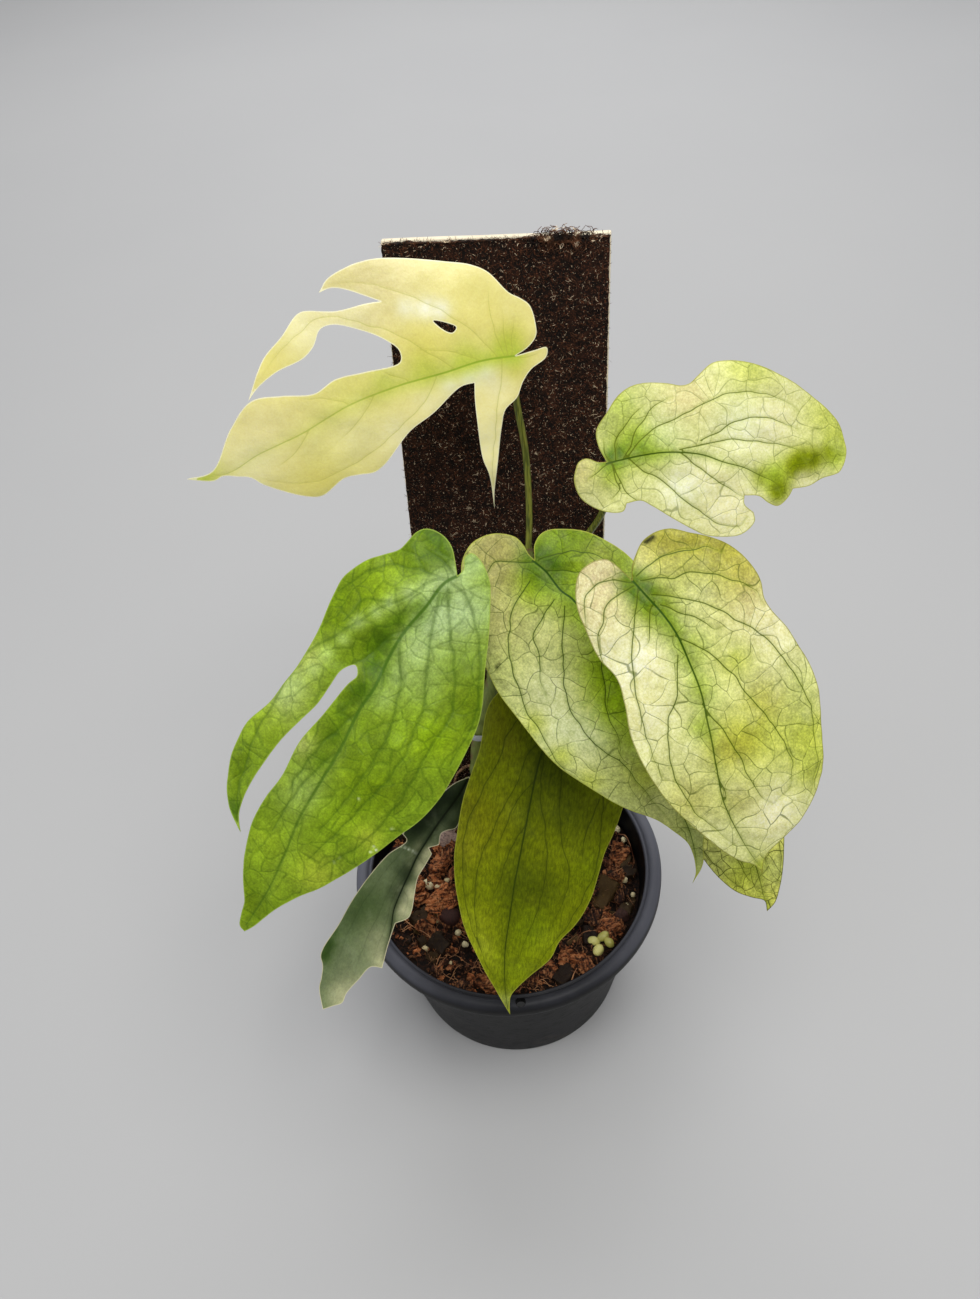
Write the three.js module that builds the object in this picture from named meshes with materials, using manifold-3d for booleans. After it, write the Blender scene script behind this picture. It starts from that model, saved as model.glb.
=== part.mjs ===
// Potted climbing aroid with cream and green leaves, tied to a leaning fibre board.
// Millimetres, +Z up, origin at the centre of the pot's flat base, -Y towards the viewer.

import * as THREE from 'three';
import { mergeVertices } from 'three/addons/utils/BufferGeometryUtils.js';
import Module from 'manifold-3d';

const wasm = await Module();
wasm.setup();

// Pot, thin moulded plastic
const POT_SIDES = 44;
const POT_HEIGHT = 78.4;
const BASE_RADIUS = 46.5;
const RIM_RADIUS = 62.5;
const RIM_DEPTH = 6;
const WALL_TOP_RADIUS = 57.5;
const POT_WALL = 1.3;
const FLOOR = 2.2;
const DRAIN_HOLES = 8;
const DRAIN_RADIUS = 4;
const DRAIN_CIRCLE = 30;
const HANGER_HOLES = 3;
const HANGER_RADIUS = 1.6;
const HANGER_CIRCLE = 59.6;

// Potting mix: coarse bark, husk chips and stones
const MIX_TOP = 65.5;
const MIX_CHIPS = 28;
const CHIP_CIRCLE = 44.5;
const CHIP_TURN = 2.39996;
const CHIP_SIZES = [4.5, 10.5];
const MIX_INSET = 0.7;
const CLEAR = 0.3;

// Climbing board: a pale core with a brown fibre layer on its front
const BOARD_FRONT = new THREE.Vector3(6.9, 33.4, 78.4);
const BOARD_LEAN = THREE.MathUtils.degToRad(11);
const BOARD_TURN = THREE.MathUtils.degToRad(-6.2);
const BOARD_TILT = THREE.MathUtils.degToRad(0.7);
const BOARD_WIDTH = 70;
const BOARD_TOP = 227.3;
const BOARD_FOOT = -35;
const FIBRE_DEPTH = 2;
const CORE_DEPTH = 3.4;
const FRAY_STEPS = 23;
const FRAY_DEPTH = 1.3;
const SLOT_TOP = 60;

// Stem, leaf stalks and blades
const STEM_RADIUS = 3;
const KNOT_RADIUS = 3.7;
const STALK_RADIUS = 1.25;
const ROOT_RADIUS = 0.7;
const BLADE = 0.8;
const BLADE_GRID = 9;
const EDGE_STEP = 4.6;
const CUT_DEPTH = 120;
const TIE_HEIGHT = 38;
const TIE_STEM_SIDE = -13.7;
const TIE_STEM_OUT = 4.4;
const TIE_WIDTH = 2.6;
const TIE_DEPTH = 0.9;

const MATERIALS = {
  pot: { color: 0x2b2f33, roughness: 0.45 },
  mix: { color: 0x4a2c1c, roughness: 0.95 },
  fibre: { color: 0x2e1d12, roughness: 1.0 },
  core: { color: 0xd8cfb4, roughness: 0.8 },
  tie: { color: 0xdfe3e4, roughness: 0.3 },
  stem: { color: 0x5d6b2c, roughness: 0.6 },
  butter: { color: 0xe3e07f, roughness: 0.5 },
  cream: { color: 0xd5dfa6, roughness: 0.45 },
  green: { color: 0x6fa02c, roughness: 0.4 },
  olive: { color: 0x83931b, roughness: 0.45 },
  aged: { color: 0x54694f, roughness: 0.5 },
};

function material(name) {
  const { color, roughness } = MATERIALS[name];
  return new THREE.MeshStandardMaterial({ color, roughness, metalness: 0 });
}

// Repeatable random numbers between 0 and 1.
function seeded(seed) {
  let state = seed;
  return () => {
    state = (state * 1664525 + 1013904223) % 4294967296;
    return state / 4294967296;
  };
}

// Closed surfaces to solids and back, so that pieces can be joined and cut.
function solid(geometry) {
  const bare = geometry.clone();
  bare.deleteAttribute('normal');
  bare.deleteAttribute('uv');
  const merged = mergeVertices(bare, 1e-4);
  const vertProperties = new Float32Array(merged.attributes.position.array);
  const triVerts = new Uint32Array(merged.index.array);
  return new wasm.Manifold(new wasm.Mesh({ numProp: 3, vertProperties, triVerts }));
}

function surface(body) {
  const { vertProperties, triVerts } = body.getMesh();
  const geometry = new THREE.BufferGeometry();
  geometry.setAttribute('position', new THREE.BufferAttribute(vertProperties, 3));
  geometry.setIndex(new THREE.BufferAttribute(triVerts, 1));
  return geometry;
}

function mesh(name, geometry, finish) {
  const piece = new THREE.Mesh(geometry, material(finish));
  piece.name = name;
  return piece;
}

function tube(points, radius, sides, steps) {
  const section = new THREE.Shape();
  for (let i = 0; i < sides; i += 1) {
    const angle = (2 * Math.PI * i) / sides;
    const place = [radius * Math.cos(angle), radius * Math.sin(angle)];
    if (i === 0) section.moveTo(...place);
    else section.lineTo(...place);
  }
  const path = new THREE.CatmullRomCurve3(points, false, 'centripetal');
  return new THREE.ExtrudeGeometry(section, { steps, bevelEnabled: false, extrudePath: path });
}

function upright(geometry) {
  return geometry.rotateX(Math.PI / 2);
}

const plant = new THREE.Group();

// The board's own frame: x sideways, y into the board from its front face, z up its length.
const boardFrame = new THREE.Group();
boardFrame.position.copy(BOARD_FRONT);
boardFrame.rotation.set(-BOARD_LEAN, BOARD_TILT, BOARD_TURN, 'ZXY');
boardFrame.updateMatrixWorld(true);
plant.add(boardFrame);

function onBoard(side, up, out) {
  return new THREE.Vector3(side, -out, up);
}

function toWorld(point) {
  return point.clone().applyMatrix4(boardFrame.matrixWorld);
}

// Pot: a tapered wall turned in one with its floor and an overhanging, turned-down rim.
function potWall() {
  const rimFoot = POT_HEIGHT - RIM_DEPTH;
  const profile = [
    [0, 0], [BASE_RADIUS - 2, 0], [BASE_RADIUS - 0.4, 0.7], [BASE_RADIUS + 0.2, 2.4],
    [WALL_TOP_RADIUS, POT_HEIGHT - 4], [RIM_RADIUS - 1.6, POT_HEIGHT - 4],
    [RIM_RADIUS - 1.4, rimFoot], [RIM_RADIUS - 0.2, rimFoot], [RIM_RADIUS, rimFoot + 0.8],
    [RIM_RADIUS, POT_HEIGHT - 1.8], [RIM_RADIUS - 0.8, POT_HEIGHT - 0.5],
    [RIM_RADIUS - 2.2, POT_HEIGHT], [RIM_RADIUS - 4, POT_HEIGHT - 0.3],
    [RIM_RADIUS - 5, POT_HEIGHT - 1.2], [WALL_TOP_RADIUS - 1.1, POT_HEIGHT - 1.4],
    [WALL_TOP_RADIUS - POT_WALL, POT_HEIGHT - 2.4],
    [BASE_RADIUS - POT_WALL + 0.2, FLOOR + 1], [BASE_RADIUS - 2.4, FLOOR], [0, FLOOR],
  ];
  const points = profile.map(([r, z]) => new THREE.Vector2(r, z));
  return upright(new THREE.LatheGeometry(points, POT_SIDES));
}

function ringOfHoles(count, circle, radius, low, high, sides) {
  const holes = [];
  for (let i = 0; i < count; i += 1) {
    const angle = -Math.PI / 2 + (2 * Math.PI * i) / count;
    const drill = upright(new THREE.CylinderGeometry(radius, radius, high - low, sides));
    drill.translate(circle * Math.cos(angle), circle * Math.sin(angle), (low + high) / 2);
    holes.push(solid(drill));
  }
  return holes;
}

let potBody = solid(potWall());
for (const hole of ringOfHoles(DRAIN_HOLES, DRAIN_CIRCLE, DRAIN_RADIUS, -1, FLOOR + 1, 10)) {
  potBody = potBody.subtract(hole);
}
for (const hole of ringOfHoles(HANGER_HOLES, HANGER_CIRCLE, HANGER_RADIUS, POT_HEIGHT - 9, POT_HEIGHT + 1, 8)) {
  potBody = potBody.subtract(hole);
}
plant.add(mesh('pot', surface(potBody), 'pot'));

// Climbing board, with its fibre layer's top edge left ragged.
function slab(width, depth, low, high) {
  const box = new THREE.BoxGeometry(width, depth, high - low);
  return box.translate(0, 0, (low + high) / 2);
}

function fibreSheet() {
  const random = seeded(7);
  const half = BOARD_WIDTH / 2 - 0.2;
  const sheet = new THREE.Shape();
  sheet.moveTo(-half, BOARD_FOOT);
  sheet.lineTo(half, BOARD_FOOT);
  for (let i = FRAY_STEPS; i >= 0; i -= 1) {
    sheet.lineTo(-half + (2 * half * i) / FRAY_STEPS, BOARD_TOP - FRAY_DEPTH * random());
  }
  const geometry = new THREE.ExtrudeGeometry(sheet, { depth: FIBRE_DEPTH, bevelEnabled: false });
  return upright(geometry).translate(0, FIBRE_DEPTH, 0);
}

const corePlace = FIBRE_DEPTH + CLEAR + CORE_DEPTH / 2;
const core = slab(BOARD_WIDTH, CORE_DEPTH, BOARD_FOOT, BOARD_TOP - 0.4).translate(0, corePlace, 0);
boardFrame.add(mesh('board_core', core, 'core'));
boardFrame.add(mesh('coir_layer', fibreSheet(), 'fibre'));

// Stem: climbs the front of the board, with swollen nodes and short clinging roots.
const STEM_ROUTE = [
  [-13, -26, 9], [-15, -10, 6], [-16, 12, 4.6], [-14.5, 34, 4.4], [-9, 58, 4.4],
  [-2, 82, 4.4], [4, 104, 4.4], [7, 116, 4.6],
];
const STEM_NODES = [[-15.8, 18, 4.6], [-11.8, 47, 4.4], [-6, 68, 4.4], [0, 89, 4.4], [6.9, 115.6, 4.6]];

function stemTube(route, radius) {
  return solid(tube(route.map((p) => onBoard(...p)), radius, 8, 16));
}

function stemKnot(place, radius) {
  const knot = new THREE.IcosahedronGeometry(radius, 1);
  return solid(knot.translate(...onBoard(...place).toArray()));
}

const ROOTS = [
  [[-15.8, 18, 4.6], [-20, 17, 1.5], [-25, 12, 1.1], [-27, 4, 1.1]],
  [[-15.8, 18, 4.6], [-11.5, 14, 1.6], [-9, 6, 1.1], [-10, -4, 1.1]],
  [[-12, 47, 4.4], [-17, 48, 1.5], [-22, 46, 1.1], [-25.5, 42, 1.1]],
  [[-12, 47, 4.4], [-7.5, 48, 1.5], [-2, 47, 1.1], [4, 43.5, 1.1]],
  [[-6, 68, 4.4], [-11, 70, 1.5], [-17, 69, 1.1], [-22, 64, 1.1]],
  [[-6, 68, 4.4], [-1.5, 64, 1.5], [3, 58, 1.1], [4, 48, 1.1]],
  [[0, 89, 4.4], [5, 90, 1.5], [10, 87, 1.1], [14, 80, 1.1]],
  [[0, 89, 4.4], [-5, 92, 1.5], [-10, 92, 1.1], [-15, 88, 1.1]],
];

let stemBody = stemTube(STEM_ROUTE, STEM_RADIUS);
for (const place of STEM_NODES) stemBody = stemBody.add(stemKnot(place, KNOT_RADIUS));
for (const route of ROOTS) {
  stemBody = stemBody.add(solid(tube(route.map((p) => onBoard(...p)), ROOT_RADIUS, 5, 5)));
}
boardFrame.add(mesh('stem', surface(stemBody), 'stem'));

// What must stay free around the stem, for the stalks' feet and the hole in the potting mix.
let stemRoom = stemTube(STEM_ROUTE, STEM_RADIUS + CLEAR);
stemRoom = stemRoom.add(stemKnot(STEM_ROUTE[0], STEM_RADIUS + 3 * CLEAR));
for (const place of STEM_NODES) stemRoom = stemRoom.add(stemKnot(place, KNOT_RADIUS + CLEAR));
const stemRoomWorld = solid(surface(stemRoom).applyMatrix4(boardFrame.matrixWorld));

// Tie: a clear plastic band, closed round the board and the stem together.
function tieLoop(grow) {
  const back = FIBRE_DEPTH + CLEAR + CORE_DEPTH + CLEAR + grow;
  const half = BOARD_WIDTH / 2 + CLEAR + grow;
  const front = -CLEAR - grow;
  const bulge = -(TIE_STEM_OUT + STEM_RADIUS + 2 * CLEAR + grow);
  const loop = new THREE.Shape();
  loop.moveTo(-half, front);
  loop.lineTo(-half, back);
  loop.lineTo(half, back);
  loop.lineTo(half, front);
  loop.lineTo(TIE_STEM_SIDE + 9 + grow, front);
  loop.lineTo(TIE_STEM_SIDE + 3.8, bulge + 1.6);
  loop.lineTo(TIE_STEM_SIDE + 1.8, bulge);
  loop.lineTo(TIE_STEM_SIDE - 1.8, bulge);
  loop.lineTo(TIE_STEM_SIDE - 3.8, bulge + 1.6);
  loop.lineTo(TIE_STEM_SIDE - 9 - grow, front);
  return loop;
}

function tieBand(grow, width) {
  const band = new THREE.ExtrudeGeometry(tieLoop(grow), { depth: width, bevelEnabled: false });
  return solid(band.translate(0, 0, TIE_HEIGHT - width / 2));
}

const tie = tieBand(TIE_DEPTH, TIE_WIDTH).subtract(tieBand(0, TIE_WIDTH + 2));
boardFrame.add(mesh('tie', surface(tie), 'tie'));

// Leaves. Each blade lies over a chord from its base, where the stalk meets it, to its tip.
// "face" is the way its upper side looks. Outlines are seen from that side: the first number
// runs from base to tip, the second to the right, and a 1 after them marks a sharp corner.
// "rise" lifts the middle of the chord, "fold" sinks the midrib, "droop" lowers the margins at
// "half" from the midrib, and "wave" ripples them. The stalk's points lie in the board's frame.
const LEAVES = [
  {
    name: 'leaf_1', finish: 'butter', base: [17, 46, 279], tip: [-87, 37, 253], face: [0.01, -0.95, 0.31],
    rise: 7, fold: 1.5, droop: 7, half: 38, wave: 0.8, period: 47,
    outline: [
      [0, 0, 1], [-4.5, -1], [-7.5, -3], [-8.5, -6.5], [-8.5, -11.5], [-6.5, -14.5], [-4, -17],
      [0, -24.5], [4, -28], [10, -31], [18.5, -35], [27.5, -38.5], [33, -39.5], [37, -39.5],
      [43, -38.5], [46.5, -36, 1], [43, -36], [39.5, -34.5], [31, -28, 1], [35.5, -29], [44, -30],
      [53, -33], [55.5, -32.5], [61, -29], [68, -25.5], [71.5, -22.5], [77.5, -16, 1], [73, -18.5],
      [66.5, -20.5], [57.5, -21.5], [53.5, -23.5], [50, -27], [46, -27], [38.5, -22.5], [33.5, -18],
      [31, -14], [32, -11], [42, -12], [51.5, -13], [58.5, -11.5], [68, -14], [77, -15.5],
      [86.5, -10], [98, 0], [107, 0, 1], [99, 3], [95.5, 2.5], [91, 4], [87.5, 5.5], [84.5, 9],
      [74, 16.5], [69.5, 18], [60.5, 15], [56, 15.5], [51.5, 16.5], [48, 15.5], [36.5, 8.5],
      [28, 6], [18, 2], [14, 2.5, 1], [15.5, 7], [17, 13], [19.5, 25], [19.5, 31.5], [22, 44, 1],
      [20, 38], [15, 27], [10.5, 17.5], [8, 13.5], [3.5, 11.5], [0.5, 8], [-3, 5.5], [-8.5, 4],
      [-9.5, 1.5], [-6, 0.8],
    ],
    holes: [[[19, -18], [15.5, -16], [13.5, -14], [15, -13], [17, -14.5]]],
    stalk: [[5.7, 183.3, 17.5], [7.9, 164.7, 13.2], [8.6, 141, 9.1], [8, 126, 6.4], [7, 115.6, 4.6]],
  },
  {
    name: 'leaf_2', finish: 'cream', base: [41, 24, 254], tip: [95, 18, 241], face: [0.04, -0.84, 0.55],
    rise: 4, fold: 2, droop: 6, half: 34, wave: 1.2, period: 38,
    outline: [
      [0, 0, 1], [-3, 4], [-4.5, 8.5], [-2.5, 14], [0, 19.5], [3, 22.5], [6.5, 24], [13.5, 25],
      [17, 25], [19.5, 26], [21.5, 28.5], [25.5, 33], [30, 34.5], [34.5, 35], [40, 34.5], [45, 33.5],
      [53, 31.5], [60.5, 28.5], [66, 25.5], [70, 22.5], [73.5, 16.5], [74, 12.5], [73, 8.5],
      [68, 6], [63.5, 3], [58, 1.3, 1], [57.5, -0.5], [56, -3], [54, -4.5], [50.5, -4], [47, -2.5],
      [42.5, -3, 1], [43, -5.5], [46.5, -7.5, 1], [47.5, -10], [46, -13], [43.5, -15], [40, -16],
      [33.5, -16.5], [29.5, -15.5], [22, -13], [15.5, -10.5], [12, -9.5], [8, -11, 1], [7.5, -13.5],
      [2, -14.5], [-4.5, -12.5], [-7, -10], [-8.5, -6.5], [-8.5, -4], [-8, -1.5], [-6, 0], [-2.5, -0.5],
    ],
    holes: [],
    stalk: [[33.6, 160.6, 32.4], [33.1, 150.5, 27.3], [29.4, 138.2, 19.1], [19.5, 121, 9.5], [4, 104, 4.4]],
  },
  {
    name: 'leaf_3', finish: 'cream', base: [41, -22, 248], tip: [74, -70, 172], face: [0.02, -0.84, 0.54],
    rise: 7, fold: 2, droop: 7, half: 34, wave: 0.8, period: 60,
    outline: [
      [0, 0, 1], [-3, 1.5], [-5.5, 4], [-8, 7.5], [-8.5, 11.5], [-7.5, 15.5], [-4.5, 19.5],
      [-1.5, 23.5], [2, 27], [6, 29.5], [10.5, 31], [15.5, 31.5], [20, 30.5], [24, 31], [30, 33],
      [36, 34], [42.5, 35], [48.5, 34.5], [54.5, 33], [64.5, 29.5], [74.5, 25.5], [82, 18.5],
      [86, 11], [89.5, 3.5], [92, 1.5], [96, 0, 1], [91.5, -1.5], [87.5, -5], [82.5, -8],
      [75.5, -11], [68, -14], [60.5, -16.5], [52, -18], [44, -18.5], [37, -18], [29, -16],
      [22, -15], [15, -17], [6.5, -17], [0.5, -16.5], [-4.5, -14.5], [-7.5, -12], [-8.5, -9],
      [-8.5, -6], [-7.5, -3.5], [-4, -1.5],
    ],
    holes: [],
    stalk: [[43, 155, 74], [50, 146, 60], [51, 130, 44], [36, 111, 22], [0, 89, 4.4]],
  },
  {
    name: 'leaf_4', finish: 'cream', base: [17, 6, 234], tip: [58, -60, 152], face: [-0.03, -0.79, 0.62],
    rise: 7, fold: 2, droop: 6, half: 34, wave: 0.8, period: 64,
    outline: [
      [0, 0, 1], [-2.5, -0.8], [-5.5, -1], [-8.5, -2], [-11.5, -5.5], [-13, -9.5], [-13, -14],
      [-12, -16.5], [-9, -20], [-1.5, -23.5], [7, -26], [14.5, -27], [22, -27.5], [30.5, -27.5],
      [41, -25.5], [51, -23.5], [58, -21.5], [64, -18.5], [71.5, -14], [79, -9], [87, -2],
      [92.5, 1], [98.5, 3.5], [103, 3.5], [106.5, 2.8], [110, 1.5], [112.5, -0.5, 1], [107.5, 5],
      [101, 8], [94.5, 11.5], [85.5, 15.5], [75, 18.5], [64, 21], [53, 23.5], [42.5, 25.5],
      [32, 26.5], [24, 27], [20, 27.5], [16, 27], [9, 24.5], [1.5, 19.5], [-1.5, 16.5],
      [-4, 12.5], [-6, 8], [-6, 5], [-4, 2],
    ],
    holes: [],
    stalk: [[10.4, 135.1, 42.6], [8, 116.6, 25.1], [4, 103, 13], [0, 89, 4.4]],
  },
  {
    name: 'leaf_5', finish: 'green', base: [-6, -8, 243], tip: [-79, -67, 163], face: [-0.08, -0.76, 0.64],
    rise: 8, fold: 2, droop: 7, half: 32, wave: 1, period: 70,
    outline: [
      [0, 0, 1], [-3.5, -3], [-6, -5.5], [-7.5, -9], [-7.5, -12.5], [-6.5, -15], [-4.5, -16.5],
      [2, -18], [5.5, -21], [9.5, -24.5], [14.5, -27], [18, -28], [24.5, -27.5], [31.5, -26],
      [38, -25.5], [45, -25.5], [51.5, -26.5], [58.5, -27.5], [67.5, -30.5], [73, -30.5], [78, -30],
      [83.5, -28], [88, -26], [92.5, -22.5], [96.5, -16, 1], [92.5, -19], [88.5, -20], [81, -20.5],
      [74, -20], [66, -19], [58, -17], [50.5, -15], [44.5, -14.5], [39, -14], [36, -11.5], [38, -9.5],
      [41.5, -10.5], [52, -12], [63, -14], [74.5, -13.5], [82.5, -14.5], [90.5, -14.5], [96, -13.5],
      [102.5, -11.5], [109, -8.5], [115, -5], [119.5, -4], [123.5, -2.5], [124.5, -0.5, 1],
      [121.5, 1], [111.5, 4.5], [105, 8], [99, 12], [92.5, 15.5], [86, 18.5], [79, 21.5], [72, 24],
      [64.5, 27], [56.5, 28.5], [49, 28.5], [41, 28], [33.5, 27], [27.5, 25], [18.5, 20.5], [9, 16],
      [0, 11], [-3.5, 8.5], [-7, 3.5], [-7.5, 0], [-5.5, -1], [-2.5, 0.5],
    ],
    holes: [],
    stalk: [[-14, 141.3, 62.3], [-14.4, 121.2, 47.1], [-9.9, 96, 25.2], [-6, 68, 4.4]],
  },
  {
    name: 'leaf_6', finish: 'olive', base: [65, -3, 172], tip: [84, -60, 129], face: [-0.19, -0.63, 0.75],
    rise: 5, fold: 2, droop: 5, half: 28, wave: 1, period: 36,
    outline: [
      [0, 0, 1], [-3, -3.5], [-1.5, -8], [3.5, -12], [13.5, -14.5], [25.5, -15.5], [37.5, -15.5],
      [48.5, -13.5], [54, -12], [59, -10], [64, -7], [67.5, -3], [70, 0.5], [73.5, 0, 1],
      [71.5, 3.5], [67.5, 6.5], [61.5, 10], [54.5, 13], [45.5, 16.5], [33, 19.5], [19, 20],
      [7, 18], [-0.5, 13.5], [-4, 8.5], [-4, 3.5],
    ],
    holes: [],
    stalk: [[54.6, 75.9, 34.1], [34.2, 66, 18.9], [10, 66, 10], [-6, 68, 4.4]],
  },
  {
    name: 'leaf_7', finish: 'olive', base: [21, -4, 175], tip: [-4, -69, 90], face: [-0.11, -0.77, 0.62],
    rise: 6, fold: 2, droop: 6, half: 27, wave: 0.6, period: 58,
    outline: [
      [0, 0, 1], [-3.5, -2.5], [-5.5, -5], [-7.5, -10.5], [-6.5, -16.5], [-1.5, -21], [3.5, -23],
      [17, -23.5], [25, -25], [33.5, -26.5], [40.5, -27], [47.5, -27], [54.5, -27], [62, -26],
      [69.5, -24], [76.5, -21.5], [83.5, -18], [92.5, -12], [102, -5.5], [110, 0, 1], [105.5, -0.7],
      [101.5, -0.5], [93, 5], [84.5, 11], [78.5, 13], [73, 16.5], [68, 19], [60.5, 21.5],
      [53, 22.5], [45.5, 23.5], [38.5, 25.5], [31.5, 27], [23, 28], [14.5, 27.5], [6.5, 24.5],
      [-0.5, 19], [-5, 13], [-6, 7.5], [-4, 3],
    ],
    holes: [],
    stalk: [[14.8, 80.1, 36.9], [6, 68.7, 19.5], [-5, 55, 9], [-11.8, 47, 4.4]],
  },
  {
    name: 'leaf_8', finish: 'aged', base: [-11, 3, 134], tip: [-48, -46, 94], face: [0.01, -0.63, 0.77],
    rise: 3, fold: 1.5, droop: 3, half: 18, wave: 0.8, period: 31,
    outline: [
      [0, 0, 1], [4.5, -4], [13, -8], [21, -11], [29, -13.5, 1], [30.5, -11], [38, -15], [48, -18],
      [59, -20], [70, -21], [80, -22.5], [83, -22], [85.5, -20], [90, -18.5], [94.5, -17.5],
      [100.5, -13, 1], [97.5, -10], [95, -7.5], [91, -7.5], [84, -5.5], [78, -3.5], [76.5, 0.5, 1],
      [68, -1], [59.5, -2, 1], [55.5, 1.5], [52.5, 1.5], [47, 0], [41, -1.5], [36, -1], [31, -0.5, 1],
      [29.5, -2.5, 1], [27, 0.5, 1], [23, -0.5], [21, 1], [19, 3.5], [13.5, 3.5], [7.5, 3], [2.5, 2.5],
    ],
    holes: [],
    stalk: [[-14.7, 31, 31], [-15, 20, 17], [-15.8, 18, 4.6]],
  },
];

function smoothEdge(points, closed) {
  const places = points.map(([u, v]) => new THREE.Vector3(u, v, 0));
  const curve = new THREE.CatmullRomCurve3(places, closed, 'centripetal');
  const spans = closed ? places.length : places.length - 1;
  const edge = [];
  for (let i = 0; i < spans; i += 1) {
    const length = places[i].distanceTo(places[(i + 1) % places.length]);
    const pieces = Math.max(1, Math.round(length / EDGE_STEP));
    for (let k = 0; k < pieces; k += 1) {
      const at = curve.getPoint((i + k / pieces) / spans);
      edge.push(new THREE.Vector2(at.x, at.y));
    }
  }
  return edge;
}

// A margin is smooth between corners; every outline starts on a corner.
function margin(outline) {
  const ring = [...outline, outline[0]];
  let edge = [];
  let start = 0;
  for (let i = 1; i < ring.length; i += 1) {
    if (ring[i][2] === 1) {
      edge = edge.concat(smoothEdge(ring.slice(start, i + 1), false));
      start = i;
    }
  }
  return edge;
}

// The blade's own frame: x along the chord, y to the right, z out of its upper side.
function bladeFrame(leaf) {
  const base = new THREE.Vector3(...leaf.base);
  const along = new THREE.Vector3(...leaf.tip).sub(base);
  const length = along.length();
  along.normalize();
  const out = new THREE.Vector3(...leaf.face);
  out.addScaledVector(along, -out.dot(along)).normalize();
  const right = new THREE.Vector3().crossVectors(out, along);
  const matrix = new THREE.Matrix4().makeBasis(along, right, out).setPosition(base);
  return { matrix, length };
}

function bladeHeight(leaf, length, u, v) {
  const s = u / length;
  const w = v / leaf.half;
  const arch = Math.max(leaf.rise * 4 * s * (1 - s), -1.5 * leaf.rise);
  const valley = leaf.fold * (Math.sqrt(w * w + 0.02) - 0.14);
  const ripple = leaf.wave * w * w * Math.sin((2 * Math.PI * u) / leaf.period + (v > 0 ? 1 : 3));
  return arch + valley - leaf.droop * w * w + ripple;
}

// A curved sheet, split alike on both faces, that is wider than the blade cut from it.
function sheet(leaf, length) {
  const us = leaf.outline.map((p) => p[0]);
  const vs = leaf.outline.map((p) => p[1]);
  const low = [Math.min(...us) - 2, Math.min(...vs) - 2];
  const across = [Math.max(...us) + 2 - low[0], Math.max(...vs) + 2 - low[1]];
  const nu = Math.ceil(across[0] / BLADE_GRID);
  const nv = Math.ceil(across[1] / BLADE_GRID);
  const positions = [];
  for (const side of [BLADE / 2, -BLADE / 2]) {
    for (let j = 0; j <= nv; j += 1) {
      for (let i = 0; i <= nu; i += 1) {
        const u = low[0] + (across[0] * i) / nu;
        const v = low[1] + (across[1] * j) / nv;
        positions.push(u, v, bladeHeight(leaf, length, u, v) + side);
      }
    }
  }
  const row = nu + 1;
  const under = row * (nv + 1);
  const faces = [];
  for (let j = 0; j < nv; j += 1) {
    for (let i = 0; i < nu; i += 1) {
      const a = j * row + i;
      const [b, c, d] = [a + 1, a + row + 1, a + row];
      const split = (i + j) % 2 === 0 ? [[a, b, c], [a, c, d]] : [[a, b, d], [b, c, d]];
      for (const [p, q, r] of split) faces.push(p, q, r, under + p, under + r, under + q);
    }
  }
  const wall = (p, q) => faces.push(q, p, under + p, q, under + p, under + q);
  for (let i = 0; i < nu; i += 1) {
    wall(i, i + 1);
    wall(nv * row + i + 1, nv * row + i);
  }
  for (let j = 0; j < nv; j += 1) {
    wall((j + 1) * row, j * row);
    wall(j * row + nu, (j + 1) * row + nu);
  }
  const geometry = new THREE.BufferGeometry();
  geometry.setAttribute('position', new THREE.Float32BufferAttribute(positions, 3));
  geometry.setIndex(faces);
  return geometry;
}

function leafBody(leaf, matrix, length) {
  const shape = new THREE.Shape(margin(leaf.outline));
  for (const hole of leaf.holes) shape.holes.push(new THREE.Path(smoothEdge(hole, true)));
  const cutter = new THREE.ExtrudeGeometry(shape, { depth: CUT_DEPTH, bevelEnabled: false });
  const blade = solid(sheet(leaf, length)).intersect(solid(cutter.translate(0, 0, -CUT_DEPTH / 2)));
  const toBlade = matrix.clone().invert();
  const route = leaf.stalk.map((p) => toWorld(onBoard(...p)).applyMatrix4(toBlade));
  route.unshift(new THREE.Vector3(1.5, 0, bladeHeight(leaf, length, 1.5, 0) - 0.5));
  const stalk = solid(tube(route, STALK_RADIUS, 7, 4 * leaf.stalk.length));
  const room = solid(surface(stemRoomWorld).applyMatrix4(toBlade));
  return blade.add(stalk).subtract(room);
}

for (const leaf of LEAVES) {
  const { matrix, length } = bladeFrame(leaf);
  const piece = mesh(leaf.name, surface(leafBody(leaf, matrix, length)), leaf.finish);
  matrix.decompose(piece.position, piece.quaternion, piece.scale);
  plant.add(piece);
}

// Potting mix: fills the pot, with a lumpy top of chips, and a slot and a hole for what it holds.
function mixTop(x, y) {
  return MIX_TOP + 0.9 * Math.sin(x * 0.31 + 1.3) * Math.cos(y * 0.27) + 0.6 * Math.sin(x * 0.12 - y * 0.19);
}

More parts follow.
